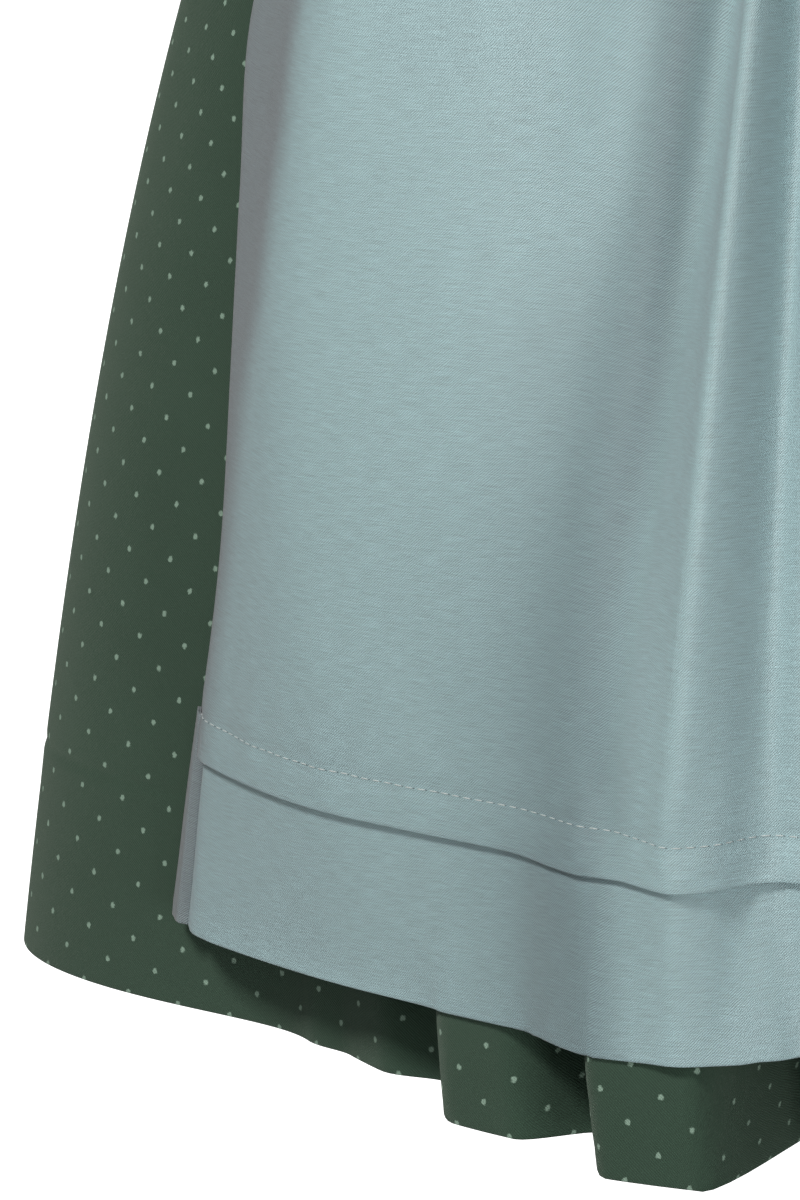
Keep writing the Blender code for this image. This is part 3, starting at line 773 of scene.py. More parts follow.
def roll_in_ends(points, reach, depth):
    """Both side edges roll inwards, as they do along a pressed seam."""
    normal = normals_of(points)
    across = lengths_along(points, 1)
    near = np.minimum(across, across[:, -1:] - across)
    return points - normal * (depth * (1 - ease(near / reach)))[..., None]


def make_skirt_half(name, first, last):
    turns = spaced(first, last, 296, (0.15, 0.4))
    above = np.concatenate([[0.0, 0.002, 0.006, 0.012], np.linspace(0.02, 0.068, 6),
                            np.linspace(0.071, 0.079, 7), np.linspace(0.084, 0.62, 84),
                            np.linspace(0.625, SKIRT_LENGTH, 26)])
    face = skirt_face(*np.meshgrid(turns, SKIRT_LENGTH - above))
    face = roll_in_ends(face, 0.003, 0.9 * MM)
    allowance = int(np.searchsorted(above, HEM_ALLOWANCE))
    points = turned_under(face, allowance, HEM_FOLD)
    piece = sheet_mesh(name, points, dress_cloth, DRESS_WALL, allowance + 3)
    return piece, face


SEAM_GAP = -0.03            # degrees: below 0, so the halves run just past each other
skirt_front, front_face = make_skirt_half("skirt_front_cloth", SIDE_SEAM_TURN[0] - SEAM_GAP,
                                          SIDE_SEAM_TURN[1] - 360 + SEAM_GAP)
skirt_back, back_face = make_skirt_half("skirt_back_cloth", SIDE_SEAM_TURN[1] - SEAM_GAP,
                                        SIDE_SEAM_TURN[0] + SEAM_GAP)
SKIRT_CUT = [float(lengths_along(face, 1)[0, -1]) for face in (front_face, back_face)]
print("hem round: front %.2f m, back %.2f m" % tuple(SKIRT_CUT))


# %% [markdown]
# ## Apron
# The panel falls from the waistband and ends in a tuck: the cloth folds under, runs back up behind for
# 15 mm and is stitched there. The border below is a deep hem of doubled cloth, and its top edge is caught
# behind the same stitches. Its deep folds could be left to the lights alone, but these are kept shallow
# enough to clear the skirt, so two marks on the mesh paint shade into the colour: painted shade in the
# long trough, and painted shade with a rosy cast of painted sheen along the turned side edges.

# %% Apron sizes and painted shade marks
APRON_WALL = 0.42 * MM
APRON_FOLD = 1.05 * MM      # how far a turned layer lies behind the face
APRON_COLUMNS = 236
TUCK_ROWS = 7
PUCKER_HEIGHT = 1.1 * MM
TUCK_PINCH = 0.7 * MM
# Reach of the painted shade along the turned side edges, and place and spread of the painted shade in the
# long trough.
TURNED_WIDTH = ((0.0, 6.0), (0.16, 22.0), (0.34, 48.0), (0.385, 38.0), (0.42, 40.0), (0.50, 28.0),
                (0.58, 22.0), (0.64, 12.0))
TURNED_HIDDEN = 25 * MM     # how much of the cloth's side runs out of sight round the edge
TURNED_ON_LEFT = 0.55       # the mark is weaker along the wearer's left edge
PANEL_SOFTNESS = 26 * MM
BORDER_SOFTNESS = 5 * MM
TROUGH_PLACE = ((0.0, 26.0), (0.34, 25.0), (0.42, 24.6), (0.50, 25.8), (0.57, 24.6), (0.64, 23.3))
TROUGH_SPREAD = ((0.0, 3.0), (0.34, 4.0), (0.42, 9.0), (0.50, 11.0), (0.57, 12.0), (0.64, 12.0))
TROUGH_FAR_SIDE = 3.0       # degrees: the trough ends sharply at the ridge beside it


def mark(piece, title, values):
    layer = piece.data.attributes.new(title, "FLOAT", "POINT")
    layer.data.foreach_set("value", values.reshape(-1).astype(np.float32))


def mark_painted_shades(piece, points, softness):
    """Marks of painted shade that darken the colour along the side edges and in the long trough.

    The modelled folds there are shallower than real ones, and light alone leaves them too pale.
    """
    across = lengths_along(points, 1)
    near = np.minimum(across, across[:, -1:] - across)
    depth = WAIST_Z - points[..., 2]
    reach = TURNED_HIDDEN + through(TURNED_WIDTH, depth) * MM
    strength = np.where(near < across, TURNED_ON_LEFT, 1.0)
    mark(piece, "turned", (1 - ease((near - reach) / softness + 0.5)) * strength)
    aside = np.degrees(np.arctan2(-points[..., 0], -points[..., 1])) - through(TROUGH_PLACE, depth)
    width = np.where(aside > 0, through(TROUGH_SPREAD, depth), TROUGH_FAR_SIDE)
    mark(piece, "trough", np.exp(-(aside / width) ** 2) * ease((depth - 0.08) / 0.2))


# %% Apron panel and border
def make_apron_panel(sides):
    low = np.concatenate([[0.0, 0.0012, 0.003], np.linspace(0.006, 0.018, 5)])
    share = np.linspace(0.0, 1.0, 118)[1:]
    grid_side, grid_low = np.meshgrid(sides, low)
    near = tuck_fold_depth(grid_side) - grid_low
    grid_side, grid_share = np.meshgrid(sides, share)
    far = mix(tuck_fold_depth(grid_side) - low[-1], APRON_TOP, grid_share)
    face = apron_grid(np.concatenate([near, far]), APRON_COLUMNS)
    pinch = TUCK_PINCH * np.exp(-((np.arange(len(face)) - TUCK_ROWS + 1) / 0.8) ** 2)
    above = lengths_along(face, 0) - TUCK_DEPTH
    pucker = ripple(lengths_along(face, 1), 53, 6, 90.0, 330.0) * np.exp(-(above / 0.022) ** 2)
    pucker = pucker * ease((above + 0.012) / 0.010)
    face = face + normals_of(face) * (PUCKER_HEIGHT * pucker - pinch[:, None])[..., None]
    points = turned_under(face, TUCK_ROWS, APRON_FOLD)
    panel = sheet_mesh("apron_panel_cloth", points, apron_cloth, APRON_WALL, TUCK_ROWS + 3)
    mark_painted_shades(panel, points, PANEL_SOFTNESS)
    return panel, face


def make_apron_border(sides):
    share = np.concatenate([[0.0, 0.015, 0.04, 0.08], np.linspace(0.12, 1.0, 22)])
    grid_side, grid_share = np.meshgrid(sides, share)
    tall = mix(*TUCK_RISE, np.abs(grid_side)) + TUCK_DEPTH - 0.002
    face = apron_grid(apron_hem_depth(grid_side) - tall * grid_share, APRON_COLUMNS)
    face = face - normals_of(face) * BORDER_BEHIND
    points = turned_under(face, len(share), APRON_FOLD)
    border = sheet_mesh("apron_border_cloth", points, apron_cloth, APRON_WALL, len(share) + 3)
    mark_painted_shades(border, points, BORDER_SOFTNESS)
    return border, face


apron_sides = np.linspace(1.0, -1.0, 61)
apron_panel, panel_face = make_apron_panel(apron_sides)
apron_border, border_face = make_apron_border(apron_sides)


# %% [markdown]
# ## Waistband, ties and bow
# The band is a straight strip folded double. It goes on as the two ties, which cross at the back and end
# in a bow. The bow's loops are the same strip, gathered where the knot holds them.

# %% Waistband and ties
BAND_OUT = 7.2 * MM
BAND_WALL = 0.9 * MM
BAND_HALF = (BAND_HIGH - BAND_LOW) / 2


def band_face(turn, rise, seed):
    edge = np.abs(rise) / BAND_HALF
    crease = 0.35 * MM * ripple(turn, seed, 4, 0.3, 1.1) * (1 - edge ** 2)
    plump = 0.5 * MM * (1 - edge ** 4) - 0.5 * MM
    out = BAND_OUT + crease + plump
    return at_turn(turn, oval(turn, WAIST_HALF_WIDTH + out, WAIST_HALF_DEPTH + out), WAIST_Z + rise)


def make_band(name, first, last, columns, seed):
    rises = np.linspace(-BAND_HALF, BAND_HALF, 15)
    points = band_face(*np.meshgrid(np.linspace(first, last, columns), rises), seed)
    return sheet_mesh(name, points, apron_cloth, BAND_WALL), points


BAND_EDGE = APRON_EDGE[0][1] + 2
waistband, band_grid = make_band("apron_waistband_cloth", BAND_EDGE - 0.05, -BAND_EDGE + 0.05, 120, 41)
tie_right, tie_right_grid = make_band("apron_tie_right_cloth", 179.95, BAND_EDGE + 0.05, 100, 43)
tie_left, tie_left_grid = make_band("apron_tie_left_cloth", -BAND_EDGE - 0.05, -179.95, 100, 47)
print("band round the front: %.3f m" % float(lengths_along(band_grid, 1)[7, -1]))

# %% Bow
KNOT_LOW, KNOT_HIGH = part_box("bow_knot")
BOW_CENTRE = (KNOT_LOW + KNOT_HIGH) / 2
LOOP_LENGTH = 0.082
LOOP_DEPTH = 0.011
LOOP_DROOP = math.radians(18.0)
TAIL_LENGTH = 0.430
KNOT_WIDTH = 0.024
KNOT_HEIGHT = 0.030


def loop_points(side):
    way, share = np.meshgrid(np.linspace(0.045, 0.955, 110), np.linspace(-1, 1, 17))
    middle = np.sin(np.pi * way)
    pleat = np.exp(-middle / 0.35) * np.cos(share * 9.5)
    out = KNOT_WIDTH / 2 + 0.0016 + LOOP_LENGTH * (middle ** 1.3 - 0.08)
    back = LOOP_DEPTH * np.sin(2 * np.pi * way) * (1 + 0.3 * middle) + 1.1 * MM * pleat
    rise = share * BAND_HALF * mix(0.62, 1.0, ease(middle * 1.6))
    droop = 0.004 * middle * share ** 2
    x = out * math.cos(LOOP_DROOP) + rise * math.sin(LOOP_DROOP)
    z = -out * math.sin(LOOP_DROOP) + rise * math.cos(LOOP_DROOP) - droop
    return np.stack([side * x + BOW_CENTRE.x, back * side + BOW_CENTRE.y, z + BOW_CENTRE.z], axis=-1)


def tail_points(side):
    half = BAND_HALF
    across, depth = np.meshgrid(np.linspace(half, -half, 17),
                                np.linspace(TAIL_LENGTH, KNOT_HEIGHT / 2 + 0.003, 120))
    lie = ease((depth - 0.018) / 0.08)
    sway = side * (mix(0.0085, 0.019, lie) + (0.024 + 0.012 * side) * ease(depth / 0.35))
    x = sway + across * mix(0.45, 1.0, lie)
    turn = 180 + np.degrees(np.arctan2(x, mix(0.11, 0.24, swell(depth))))
    pleat = 0.9 * MM * (1 - lie) * np.cos(across / half * 9.0)
    curl = 0.8 * MM * np.sin(depth * 31 + side) * lie * (across / half)
    out = mix(0.0105, 0.0046, lie) + pleat + curl * 0.6
    return at_turn(turn, skirt_radius(turn, depth) + out, WAIST_Z - depth)


def make_knot():
    """A ball of strip wound tight: a cube made round, with a few slanting folds pressed in."""
    shape = bmesh.new()
    bmesh.ops.create_cube(shape, size=2.0)
    bmesh.ops.subdivide_edges(shape, edges=shape.edges[:], cuts=15, use_grid_fill=True)
    size = (KNOT_HIGH - KNOT_LOW) / 2
    for vert in shape.verts:
        way = vert.co.normalized()
        blocky = mix(1.0, 1 / max(abs(c) for c in way), 0.35)
        fold = 1 + 0.05 * math.cos(9 * way.z + 3 * way.x) * (1 - abs(way.z))
        vert.co = BOW_CENTRE + Vector([way[k] * size[k] * min(1.0, blocky * 0.92 * fold) for k in range(3)])
    mesh = bpy.data.meshes.new("bow_knot_cloth")
    layers = [shape.loops.layers.uv.new(title) for title in ("threads", "spots")]
    for face in shape.faces:
        for loop in face.loops:
            co = loop.vert.co - BOW_CENTRE
            for layer in layers:
                loop[layer].uv = (co.x + co.y, co.z)
    shape.to_mesh(mesh)
    shape.free()
    mesh.shade_smooth()
    mesh.materials.append(apron_cloth)
    piece = bpy.data.objects.new("bow_knot_cloth", mesh)
    bpy.context.scene.collection.objects.link(piece)
    return piece


TIE_WALL = 0.45 * MM
loops = {word: sheet_mesh("bow_loop_%s_cloth" % word, loop_points(side), apron_cloth, TIE_WALL)
         for word, side in (("right", -1), ("left", 1))}
tails = {word: sheet_mesh("bow_tail_%s_cloth" % word, tail_points(side), apron_cloth, TIE_WALL)
         for word, side in (("right", -1), ("left", 1))}
knot = make_knot()
print("bow at", [round(v, 3) for v in BOW_CENTRE])


# %% [markdown]
# ## Bodice
# Eight panels are shaped by their seams: the front seams curve over the bust, and the back seams into the
# waist. The straps are part of the front and back panels. A level counts the rows of the table, so an edge
# can be placed near a row without repeating its height.

# %% Bodice form
BODICE_LEVELS = (
    # height, half_width, front_depth, back_depth
    (-0.4000, 0.1300, 0.1050, 0.1050),
    (-0.3400, 0.1410, 0.1170, 0.1120),
    (-0.2900, 0.1490, 0.1320, 0.1160),
    (-0.2350, 0.1570, 0.1460, 0.1190),
    (-0.1700, 0.1640, 0.1360, 0.1200),
    (-0.1100, 0.1700, 0.1120, 0.1150),
    (-0.0600, 0.1750, 0.0850, 0.0990),
    (-0.0250, 0.1780, 0.0560, 0.0700),
    (-0.0070, 0.1790, 0.0270, 0.0340),
    (0.0000, 0.1800, 0.0000, 0.0000),
)
SHOULDER_SLOPE = 0.30
NECK_X = 0.086
BUST_FULLNESS = 0.010
LAP = 0.012
LAP_LIFT = 0.0021
LAP_RAMP = (8.0, 13.0)
SEAM_OVERLAP = 0.10         # degrees by which the centre back edges run past each other
FRONT_NECK = ((4.15, -4.4), (4.22, 3.0), (4.40, 14.0), (4.70, 21.0), (5.2, 25.0), (6.0, 27.0),
              (7.0, 28.0), (9.0, 28.5))
FRONT_SEAM = ((0.0, 30.0), (1.0, 32.0), (2.0, 35.0), (3.0, 39.0), (4.0, 46.0), (4.6, 52.0))
FRONT_STRAP = ((5.0, 50.0), (6.0, 46.5), (7.0, 45.0), (8.0, 44.3), (9.0, 44.0))
SIDE_SEAM = ((0.0, 90.0), (3.0, 90.0), (3.3, 90.0))
FRONT_ARMHOLE = ((3.40, 83.0), (3.52, 77.0), (3.8, 69.0), (4.22, 60.0), (4.6, 52.3))
BACK_ARMHOLE = ((3.40, 97.0), (3.52, 103.0), (3.8, 110.0), (4.2, 117.5), (4.8, 126.7))
BACK_SEAM = ((0.0, 156.0), (1.0, 153.0), (2.0, 149.0), (3.0, 144.0), (4.0, 136.0), (4.8, 127.0))
BACK_STRAP = ((5.2, 129.0), (6.0, 132.0), (7.0, 134.0), (8.0, 135.4), (9.0, 136.0))
BACK_NECK = ((5.30, 180.0), (5.36, 174.0), (5.50, 167.0), (5.80, 160.5), (6.3, 156.0),
             (7.0, 153.5), (8.0, 152.0), (9.0, 151.5))


def level_value(column, level):
    return through([(row, values[column]) for row, values in enumerate(BODICE_LEVELS)], level)


def bodice_face(side, turn, level, lift=0.0):
    """A point on the bodice; side is -1 for the wearer's right and 1 for the left."""
    angle = np.radians(turn)
    half_width = level_value(1, level) + lift
    depth = np.where(turn < 90, level_value(2, level), level_value(3, level))
    cup = (BUST_FULLNESS * np.exp(-((turn - 37) / 17) ** 2) * np.exp(-((level - 2.9) / 0.8) ** 2))
    x = (half_width + cup * 0.6) * np.sin(angle)
    y = -(np.maximum(0.0, depth) + lift + cup) * np.cos(angle)
    drop = SHOULDER_SLOPE * (np.abs(x) - NECK_X) * ease((level - 5) / 4)
    return np.stack([side * x, y, level_value(0, level) - drop], axis=-1)


def front_inner(level):
    past_front = -np.degrees(np.arcsin(LAP / level_value(1, level)))
    return np.where(level < 4.16, past_front, through(FRONT_NECK, level))


def back_inner(level):
    return np.minimum(180.0, through(BACK_NECK, level)) + SEAM_OVERLAP


def make_bodice_panel(name, side, levels, inner, outer, columns, lapped=False):
    shares = spaced(0.0, 1.0, columns, (0.012,))
    if side < 0:
        shares = shares[::-1]
    share, level = np.meshgrid(shares, levels)
    turn = mix(inner(level), outer(level), share)
    down = ease((turn - LAP_RAMP[0]) / (LAP_RAMP[1] - LAP_RAMP[0]))
    lift = LAP_LIFT * (1 - down) if lapped else 0.0 * turn
    points = bodice_face(side, turn, level, lift)
    points = roll_in_ends(points, 0.0022, 0.7 * MM)
    slack = 0.0006 * ripple(level * 6 + turn * 0.05, 7 + len(name), 3, 0.5, 1.6)
    points = points - normals_of(points) * slack[..., None]
    return sheet_mesh(name, points, dress_cloth, 0.9 * MM, 0), points


# %% Bodice panels
GAP = -0.03                 # degrees: below 0, so the panels run just past each other
UNDER_ARM = np.linspace(0.003, 3.35, 40)
FRONT_RISE = np.array([3.37, 3.40, 3.44, 3.48, 3.52, 3.6, 3.7, 3.8, 3.9, 4.0, 4.08, 4.15])
FRONT_TOP = np.array([4.155, 4.17, 4.19, 4.22, 4.26, 4.3, 4.35, 4.4, 4.5, 4.6])
BACK_RISE = np.array([3.37, 3.40, 3.44, 3.48, 3.52, 3.6, 3.7, 3.8, 4.0, 4.2, 4.4, 4.6, 4.8])
BACK_TOP = np.array([5.0, 5.2, 5.28, 5.30, 5.32, 5.36, 5.4, 5.45, 5.5, 5.6, 5.7, 5.8, 6.0])
FRONT_STRAP_LEVELS = np.array([4.8, 5.0, 5.2, 5.5, 5.8, 6.2, 6.6, 7.0, 7.4, 7.8, 8.2, 8.5, 8.75, 8.995])
BACK_STRAP_LEVELS = FRONT_STRAP_LEVELS[5:]


def seam_line(lower, upper, shift):
    return lambda level: through(lower + upper, level) + shift


bodice = {}
bodice_grids = {}
for side, word in ((-1, "right"), (1, "left")):
    plan = {
        "front": (np.concatenate([UNDER_ARM, FRONT_RISE, FRONT_TOP, FRONT_STRAP_LEVELS]), front_inner,
                  seam_line(FRONT_SEAM, FRONT_STRAP, -GAP), 44),
        "side_front": (np.concatenate([UNDER_ARM, FRONT_RISE, FRONT_TOP]),
                       seam_line(FRONT_SEAM, FRONT_STRAP, GAP),
                       seam_line(SIDE_SEAM, FRONT_ARMHOLE, -GAP), 36),
        "side_back": (np.concatenate([UNDER_ARM, BACK_RISE]), seam_line(SIDE_SEAM, BACK_ARMHOLE, GAP),
                      seam_line(BACK_SEAM, BACK_STRAP, -GAP), 36),
        "back": (np.concatenate([UNDER_ARM, BACK_RISE, BACK_TOP, BACK_STRAP_LEVELS]),
                 seam_line(BACK_SEAM, BACK_STRAP, GAP), back_inner, 36),
    }
    for part, (levels, inner, outer, columns) in plan.items():
        node = "bodice_%s_%s" % (part, word)
        lapped = part == "front" and side < 0
        bodice[node], bodice_grids[node] = make_bodice_panel(node + "_cloth", side, levels, inner, outer,
                                                             columns, lapped)
print("bodice panels:", len(bodice))


# %% [markdown]
# ## Stitches and buttons with Geometry Nodes
# A row of stitches is one small thread repeated along a line, which is what Geometry Nodes are for. The
# line goes in as an edge mesh, is resampled at the stitch pitch, and each point gets a stitch turned along
# the line. The same kind of tree sets a turned button on each point of the closure.

# %% The stitch tree
def stitch_tree():
    tree = bpy.data.node_groups.new("row_of_stitches", "GeometryNodeTree")
    face = tree.interface
    face.new_socket("Geometry", in_out="INPUT", socket_type="NodeSocketGeometry")
    for title, value in (("Pitch", 0.0048), ("Length", 0.0038), ("Thickness", 0.00022)):
        face.new_socket(title, in_out="INPUT", socket_type="NodeSocketFloat").default_value = value
    face.new_socket("Thread", in_out="INPUT", socket_type="NodeSocketMaterial")
    face.new_socket("Geometry", in_out="OUTPUT", socket_type="NodeSocketGeometry")
    node = tree.nodes.new
    link = tree.links.new
    given, out = node("NodeGroupInput"), node("NodeGroupOutput")
    line, even = node("GeometryNodeMeshToCurve"), node("GeometryNodeResampleCurve")
    even.mode = "LENGTH"
    link(given.outputs["Geometry"], line.inputs["Mesh"])
    link(line.outputs["Curve"], even.inputs["Curve"])
    link(given.outputs["Pitch"], even.inputs["Length"])
    thread, scale = node("GeometryNodeMeshUVSphere"), node("ShaderNodeCombineXYZ")
    thread.inputs["Segments"].default_value = 8
    thread.inputs["Rings"].default_value = 5
    thread.inputs["Radius"].default_value = 0.5
    link(given.outputs["Thickness"], scale.inputs["X"])
    link(given.outputs["Thickness"], scale.inputs["Y"])
    link(given.outputs["Length"], scale.inputs["Z"])
    shaped = node("GeometryNodeTransform")
    link(thread.outputs["Mesh"], shaped.inputs["Geometry"])
    link(scale.outputs["Vector"], shaped.inputs["Scale"])
    smooth = node("GeometryNodeSetShadeSmooth")
    link(shaped.outputs["Geometry"], smooth.inputs["Geometry"])
    along, turn = node("GeometryNodeInputTangent"), node("FunctionNodeAlignRotationToVector")
    turn.axis = "Z"
    link(along.outputs["Tangent"], turn.inputs["Vector"])
    place = node("GeometryNodeInstanceOnPoints")
    link(even.outputs["Curve"], place.inputs["Points"])
    link(smooth.outputs["Geometry"], place.inputs["Instance"])
    link(turn.outputs["Rotation"], place.inputs["Rotation"])
    real, paint = node("GeometryNodeRealizeInstances"), node("GeometryNodeSetMaterial")
    link(place.outputs["Instances"], real.inputs["Geometry"])
    link(real.outputs["Geometry"], paint.inputs["Geometry"])
    link(given.outputs["Thread"], paint.inputs["Material"])
    link(paint.outputs["Geometry"], out.inputs["Geometry"])
    return tree


def made_real(carrier, tree, values):
    """Run a tree on a carrier object and keep the result as a plain mesh."""
    run = carrier.modifiers.new("made", "NODES")
    run.node_group = tree
    for item in tree.interface.items_tree:
        if item.in_out == "INPUT" and item.name in values:
            run[item.identifier] = values[item.name]
    graph = bpy.context.evaluated_depsgraph_get()
    mesh = bpy.data.meshes.new_from_object(carrier.evaluated_get(graph))
    carrier.modifiers.clear()
    carrier.data = mesh
    return carrier


STITCHES = stitch_tree()


def stitch_lines(name, lines, thread, pitch=4.8 * MM, length=3.8 * MM, thickness=0.24 * MM):
    """Rows of stitches along lines, each line a list of points on the cloth's face."""
    mesh = bpy.data.meshes.new(name)
    points, edges = [], []
    for line in lines:
        start = len(points)
        points += [tuple(point) for point in line]
        edges += [(start + k, start + k + 1) for k in range(len(line) - 1)]
    mesh.from_pydata(points, edges, [])
    carrier = bpy.data.objects.new(name, mesh)
    bpy.context.scene.collection.objects.link(carrier)
    made_real(carrier, STITCHES, {"Pitch": pitch, "Length": length, "Thickness": thickness,
                                  "Thread": thread})
    return carrier


# %% Stitched lines on the apron
STITCH_LIFT = 0.05 * MM


def lifted_row(points, row, lift):
    return points[row] + normals_of(points)[row] * lift


def lifted_column(points, distance, lift, from_start=True):
    """The line that runs a set distance in from one side edge of a grid."""
    across = lengths_along(points, 1)
    normal = normals_of(points)
    line = []
    for row in range(len(points)):
        reach = across[row] if from_start else across[row, -1] - across[row]
        order = np.argsort(reach)
        lifted = (points[row] + normal[row] * lift)[order]
        line.append([np.interp(distance, reach[order], lifted[:, k]) for k in range(3)])
    return np.array(line)


def later_along(line, distance):
    """The same line, started a little further along."""
    run = np.concatenate([[0], np.cumsum(np.linalg.norm(np.diff(line, axis=0), axis=1))])
    places = np.concatenate([[distance], run[run > distance]])
    return np.stack([np.interp(places, run, line[:, k]) for k in range(3)], axis=1)


tuck_line = lifted_row(panel_face, 6, 0.10 * MM)
tuck_stitches = stitch_lines("tuck_stitches", [tuck_line], apron_thread, 4.8 * MM, 3.4 * MM, 0.44 * MM)
# Painted shadow: short dark stitches between the pale ones stand in for the shade in the needle holes.
needle_marks = stitch_lines("needle_marks", [later_along(tuck_line, 2.4 * MM)], needle_shadow,
                            4.8 * MM, 0.9 * MM, 0.36 * MM)
hem_lines = [lifted_column(panel_face, SIDE_HEM, STITCH_LIFT, from_start)[8:] for from_start in (True, False)]
side_hem_stitches = stitch_lines("side_hem_stitches", hem_lines, apron_thread, 3.4 * MM, 2.5 * MM, 0.32 * MM)
band_lines = [lifted_row(grid, row, STITCH_LIFT) for grid in (band_grid, tie_right_grid, tie_left_grid)
              for row in (1, 13)]
band_stitches = stitch_lines("waistband_stitches", band_lines, apron_thread, 3.0 * MM, 2.3 * MM, 0.2 * MM)
print("stitch triangles:", sum(len(o.data.polygons) for o in (tuck_stitches, side_hem_stitches,
                                                             band_stitches)))

# %% Stitched lines on the bodice
NECK_STITCH_IN = 5 * MM
neck_lines = []
for word in ("right", "left"):
    front, back = bodice_grids["bodice_front_" + word], bodice_grids["bodice_back_" + word]
    neck_lines.append(lifted_column(front, NECK_STITCH_IN, STITCH_LIFT, word == "left")[54:-1])
    neck_lines.append(lifted_column(front, NECK_STITCH_IN, STITCH_LIFT, word != "left")[62:-1])
    neck_lines.append(lifted_column(back, NECK_STITCH_IN, STITCH_LIFT, word != "left")[57:-1])
    neck_lines.append(lifted_column(back, NECK_STITCH_IN, STITCH_LIFT, word == "left")[53:-1])
bodice_stitches = stitch_lines("bodice_stitches", neck_lines, dress_thread, 3.0 * MM, 2.2 * MM, 0.2 * MM)


# %% Buttons
BUTTON_NODES = sorted(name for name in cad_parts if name.startswith("button_"))
BUTTON_RADIUS = 6.5 * MM
BUTTON_HEIGHT = 3.0 * MM
BUTTON_PROFILE = ((0.0, 1.05), (0.20, 1.02), (0.30, 0.86), (0.40, 0.80), (0.55, 0.84), (0.70, 0.96),
                  (0.82, 1.02), (0.92, 0.95), (1.0, 0.62), (0.97, 0.22), (0.80, 0.0), (0.0, 0.0))


def button_shape():
    """One turned button: a raised middle, a groove round it and a rolled rim."""
    mesh = bpy.data.meshes.new("button_turned")
    mesh.from_pydata([(r * BUTTON_RADIUS, 0, z * BUTTON_HEIGHT) for r, z in BUTTON_PROFILE],
                     [(i, i + 1) for i in range(len(BUTTON_PROFILE) - 1)], [])
    shape = bpy.data.objects.new("button_turned", mesh)
    bpy.context.scene.collection.objects.link(shape)
    turned = shape.modifiers.new("turned", "SCREW")
    turned.steps = turned.render_steps = 48
    turned.use_merge_vertices = True
    turned.merge_threshold = 0.00001
    return shape


def button_tree(shape):
    tree = bpy.data.node_groups.new("buttons_on_points", "GeometryNodeTree")
    face = tree.interface
    face.new_socket("Geometry", in_out="INPUT", socket_type="NodeSocketGeometry")
    face.new_socket("Button", in_out="INPUT", socket_type="NodeSocketObject")
    face.new_socket("Metal", in_out="INPUT", socket_type="NodeSocketMaterial")
    face.new_socket("Geometry", in_out="OUTPUT", socket_type="NodeSocketGeometry")
    node = tree.nodes.new
    link = tree.links.new
    given, out = node("NodeGroupInput"), node("NodeGroupOutput")
    info, facing = node("GeometryNodeObjectInfo"), node("GeometryNodeInputNamedAttribute")
    link(given.outputs["Button"], info.inputs["Object"])
    facing.data_type = "FLOAT_VECTOR"
    facing.inputs["Name"].default_value = "facing"
    turn = node("FunctionNodeAlignRotationToVector")
    turn.axis = "Z"
    link(facing.outputs["Attribute"], turn.inputs["Vector"])
    place = node("GeometryNodeInstanceOnPoints")
    link(given.outputs["Geometry"], place.inputs["Points"])
    link(info.outputs["Geometry"], place.inputs["Instance"])
    link(turn.outputs["Rotation"], place.inputs["Rotation"])
    real, smooth = node("GeometryNodeRealizeInstances"), node("GeometryNodeSetShadeSmooth")
    paint = node("GeometryNodeSetMaterial")
    link(place.outputs["Instances"], real.inputs["Geometry"])
    link(real.outputs["Geometry"], smooth.inputs["Geometry"])
    link(smooth.outputs["Geometry"], paint.inputs["Geometry"])
    link(given.outputs["Metal"], paint.inputs["Material"])
    link(paint.outputs["Geometry"], out.inputs["Geometry"])
    return tree


def button_places():
    """Each button's seat: the middle of its CAD node's back, and the way the cloth faces there."""
    places, facings = [], []
    for node in BUTTON_NODES:
        low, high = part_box(node)
        middle = (low + high) / 2
        level = np.interp(middle.z, [row[0] for row in BODICE_LEVELS], range(len(BODICE_LEVELS)))
        here = Vector(bodice_face(-1, np.array(0.0), np.array(level)))
        above = Vector(bodice_face(-1, np.array(0.0), np.array(level + 0.05)))
        outward = Vector((1, 0, 0)).cross(above - here).normalized()
        outward = -outward if outward.y > 0 else outward
        places.append(tuple(middle - outward * BUTTON_HEIGHT / 2))
        facings.append(tuple(outward))
    return places, facings


def make_buttons():
    places, facings = button_places()
    mesh = bpy.data.meshes.new("buttons")
    mesh.from_pydata(places, [], [])
    attribute = mesh.attributes.new("facing", "FLOAT_VECTOR", "POINT")
    attribute.data.foreach_set("vector", np.array(facings, np.float32).reshape(-1))
    carrier = bpy.data.objects.new("buttons", mesh)
    bpy.context.scene.collection.objects.link(carrier)
    shape = button_shape()
    made_real(carrier, button_tree(shape), {"Button": shape, "Metal": button_metal})
    bpy.data.objects.remove(shape, do_unlink=True)
    return carrier


buttons = make_buttons()
print("buttons:", len(BUTTON_NODES), "polygons", len(buttons.data.polygons))


# %% [markdown]
# ## What each piece stands for
# The dress is one body, so every piece rides on root. Each cloth stands for its CAD solid, which is
# hidden. A gathered cloth was cut wider than it shows.

# %% Ride and replace
def settle(piece, nodes):
    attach(piece, "root")
    if nodes:
        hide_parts(*nodes)


for piece, node, slot in ((skirt_front, "skirt_front", "dress_cloth"),
                          (skirt_back, "skirt_back", "dress_cloth"),
                          (apron_panel, "apron_panel", "apron_cloth"),
                          (apron_border, "apron_border", "apron_cloth"),
                          (waistband, "apron_waistband", "apron_cloth"),
                          (tie_right, "apron_tie_right", "apron_cloth"),
                          (tie_left, "apron_tie_left", "apron_cloth")):
    settle(piece, [node])
settle(knot, ["bow_knot"])
for word in ("right", "left"):
    settle(loops[word], ["bow_loop_" + word])
    settle(tails[word], ["bow_tail_" + word])
for node, piece in bodice.items():
    settle(piece, [node])
settle(buttons, BUTTON_NODES)
for piece in (tuck_stitches, needle_marks, side_hem_stitches, band_stitches):
    settle(piece, [])
settle(bodice_stitches, [])


# %% [markdown]
# ## Camera, light and floor
# A long lens from a little above, turned to look at the lower left of the dress. The key light stands
# high in front and to the left. Weak ones fill from the front, from the right and low down, a broad one
# lights the back, and the surroundings are pale. The floor glows only for the camera.

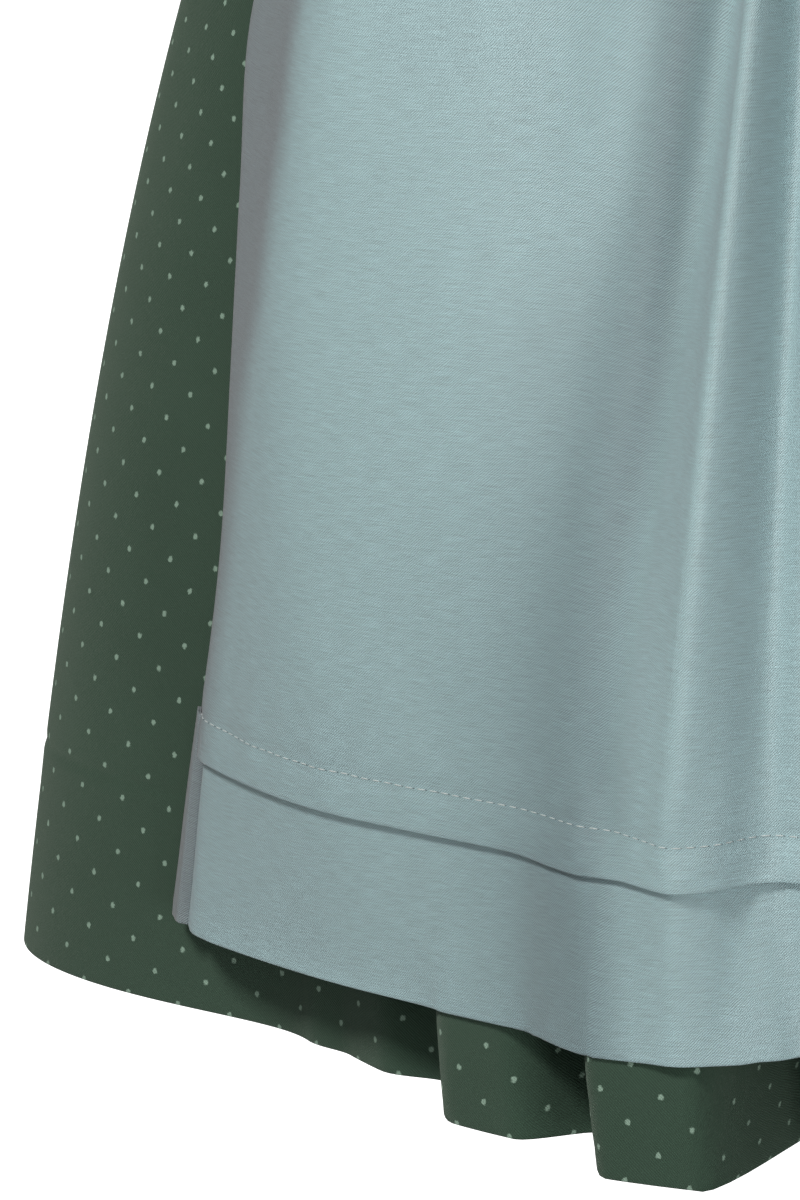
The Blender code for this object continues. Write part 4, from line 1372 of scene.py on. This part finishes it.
# %% Camera
CAMERA_PLACE = Vector((0.109, -3.290, -0.101))
CAMERA_TURN = (-5.28, -14.44)       # degrees: to the left, and down
LENS = 288.7

camera_data = bpy.data.cameras.new("camera")
camera_data.lens = LENS
camera_data.sensor_width = 36.0
camera = bpy.data.objects.new("camera", camera_data)
camera.location = CAMERA_PLACE
yaw, pitch = (math.radians(v) for v in CAMERA_TURN)
looking = Vector((math.sin(yaw) * math.cos(pitch), math.cos(yaw) * math.cos(pitch), math.sin(pitch)))
camera.rotation_mode = "QUATERNION"
camera.rotation_quaternion = looking.to_track_quat("-Z", "Y")
bpy.context.scene.collection.objects.link(camera)
bpy.context.scene.camera = camera


# %% Lights and surroundings
def area_light(name, turn, rise, distance, size, power, colour, target=(0.0, 0.0, -0.75)):
    """A square soft light, aimed at the middle of the skirt unless it says otherwise."""
    target = Vector(target)
    angle, lift = math.radians(turn), math.radians(rise)
    way = Vector((-math.sin(angle) * math.cos(lift), -math.cos(angle) * math.cos(lift), math.sin(lift)))
    data = bpy.data.lights.new(name, "AREA")
    data.size = size
    data.energy = power
    data.color = colour
    lamp = bpy.data.objects.new(name, data)
    lamp.location = target + way * distance
    lamp.rotation_mode = "QUATERNION"
    lamp.rotation_quaternion = (-way).to_track_quat("-Z", "Y")
    bpy.context.scene.collection.objects.link(lamp)


area_light("key", 40, 42, 2.6, 0.5, 48, (1.0, 0.99, 0.97))
area_light("front", -4, 16, 3.4, 1.0, 9, (0.98, 0.99, 1.0))
area_light("back", 180, 30, 3.5, 2.5, 95, (1.0, 1.0, 1.0))
area_light("side", -80, 6, 3.2, 1.6, 6, (0.98, 0.99, 1.0))
area_light("low", -26, -5, 1.3, 0.4, 4.5, (1.0, 1.0, 1.0), (-0.05, -0.2, -1.03))

world = bpy.data.worlds.new("surroundings")
bpy.context.scene.world = world
world.use_nodes = True
sky = world.node_tree.nodes["Background"]
seen = world.node_tree.nodes.new("ShaderNodeLightPath")
level = world.node_tree.nodes.new("ShaderNodeMapRange")
level.inputs["To Min"].default_value = 0.10
level.inputs["To Max"].default_value = 1.0
world.node_tree.links.new(seen.outputs["Is Camera Ray"], level.inputs["Value"])
world.node_tree.links.new(level.outputs["Result"], sky.inputs["Strength"])
sky.inputs["Color"].default_value = (1, 1, 1, 1)

# %% Floor
FLOOR_BELOW_HEM = 0.36
floor_mesh = bpy.data.meshes.new("floor")
reach, height = 40.0, HEM_Z - FLOOR_BELOW_HEM
floor_mesh.from_pydata([(-reach, -reach, height), (reach, -reach, height), (reach, reach, height),
                        (-reach, reach, height)], [], [(0, 1, 2, 3)])
floor = bpy.data.objects.new("floor", floor_mesh)
bpy.context.scene.collection.objects.link(floor)
pale, pale_tree, pale_shader = start_material("pale_floor", Roughness=0.9)
pale_shader.inputs["Base Color"].default_value = (0.45, 0.45, 0.45, 1)
pale_shader.inputs["Emission Color"].default_value = (1, 1, 1, 1)
seen_floor = pale_tree.nodes.new("ShaderNodeLightPath")
pale_tree.links.new(seen_floor.outputs["Is Camera Ray"], pale_shader.inputs["Emission Strength"])
floor_mesh.materials.append(pale)
bpy.context.scene.view_settings.view_transform = "Standard"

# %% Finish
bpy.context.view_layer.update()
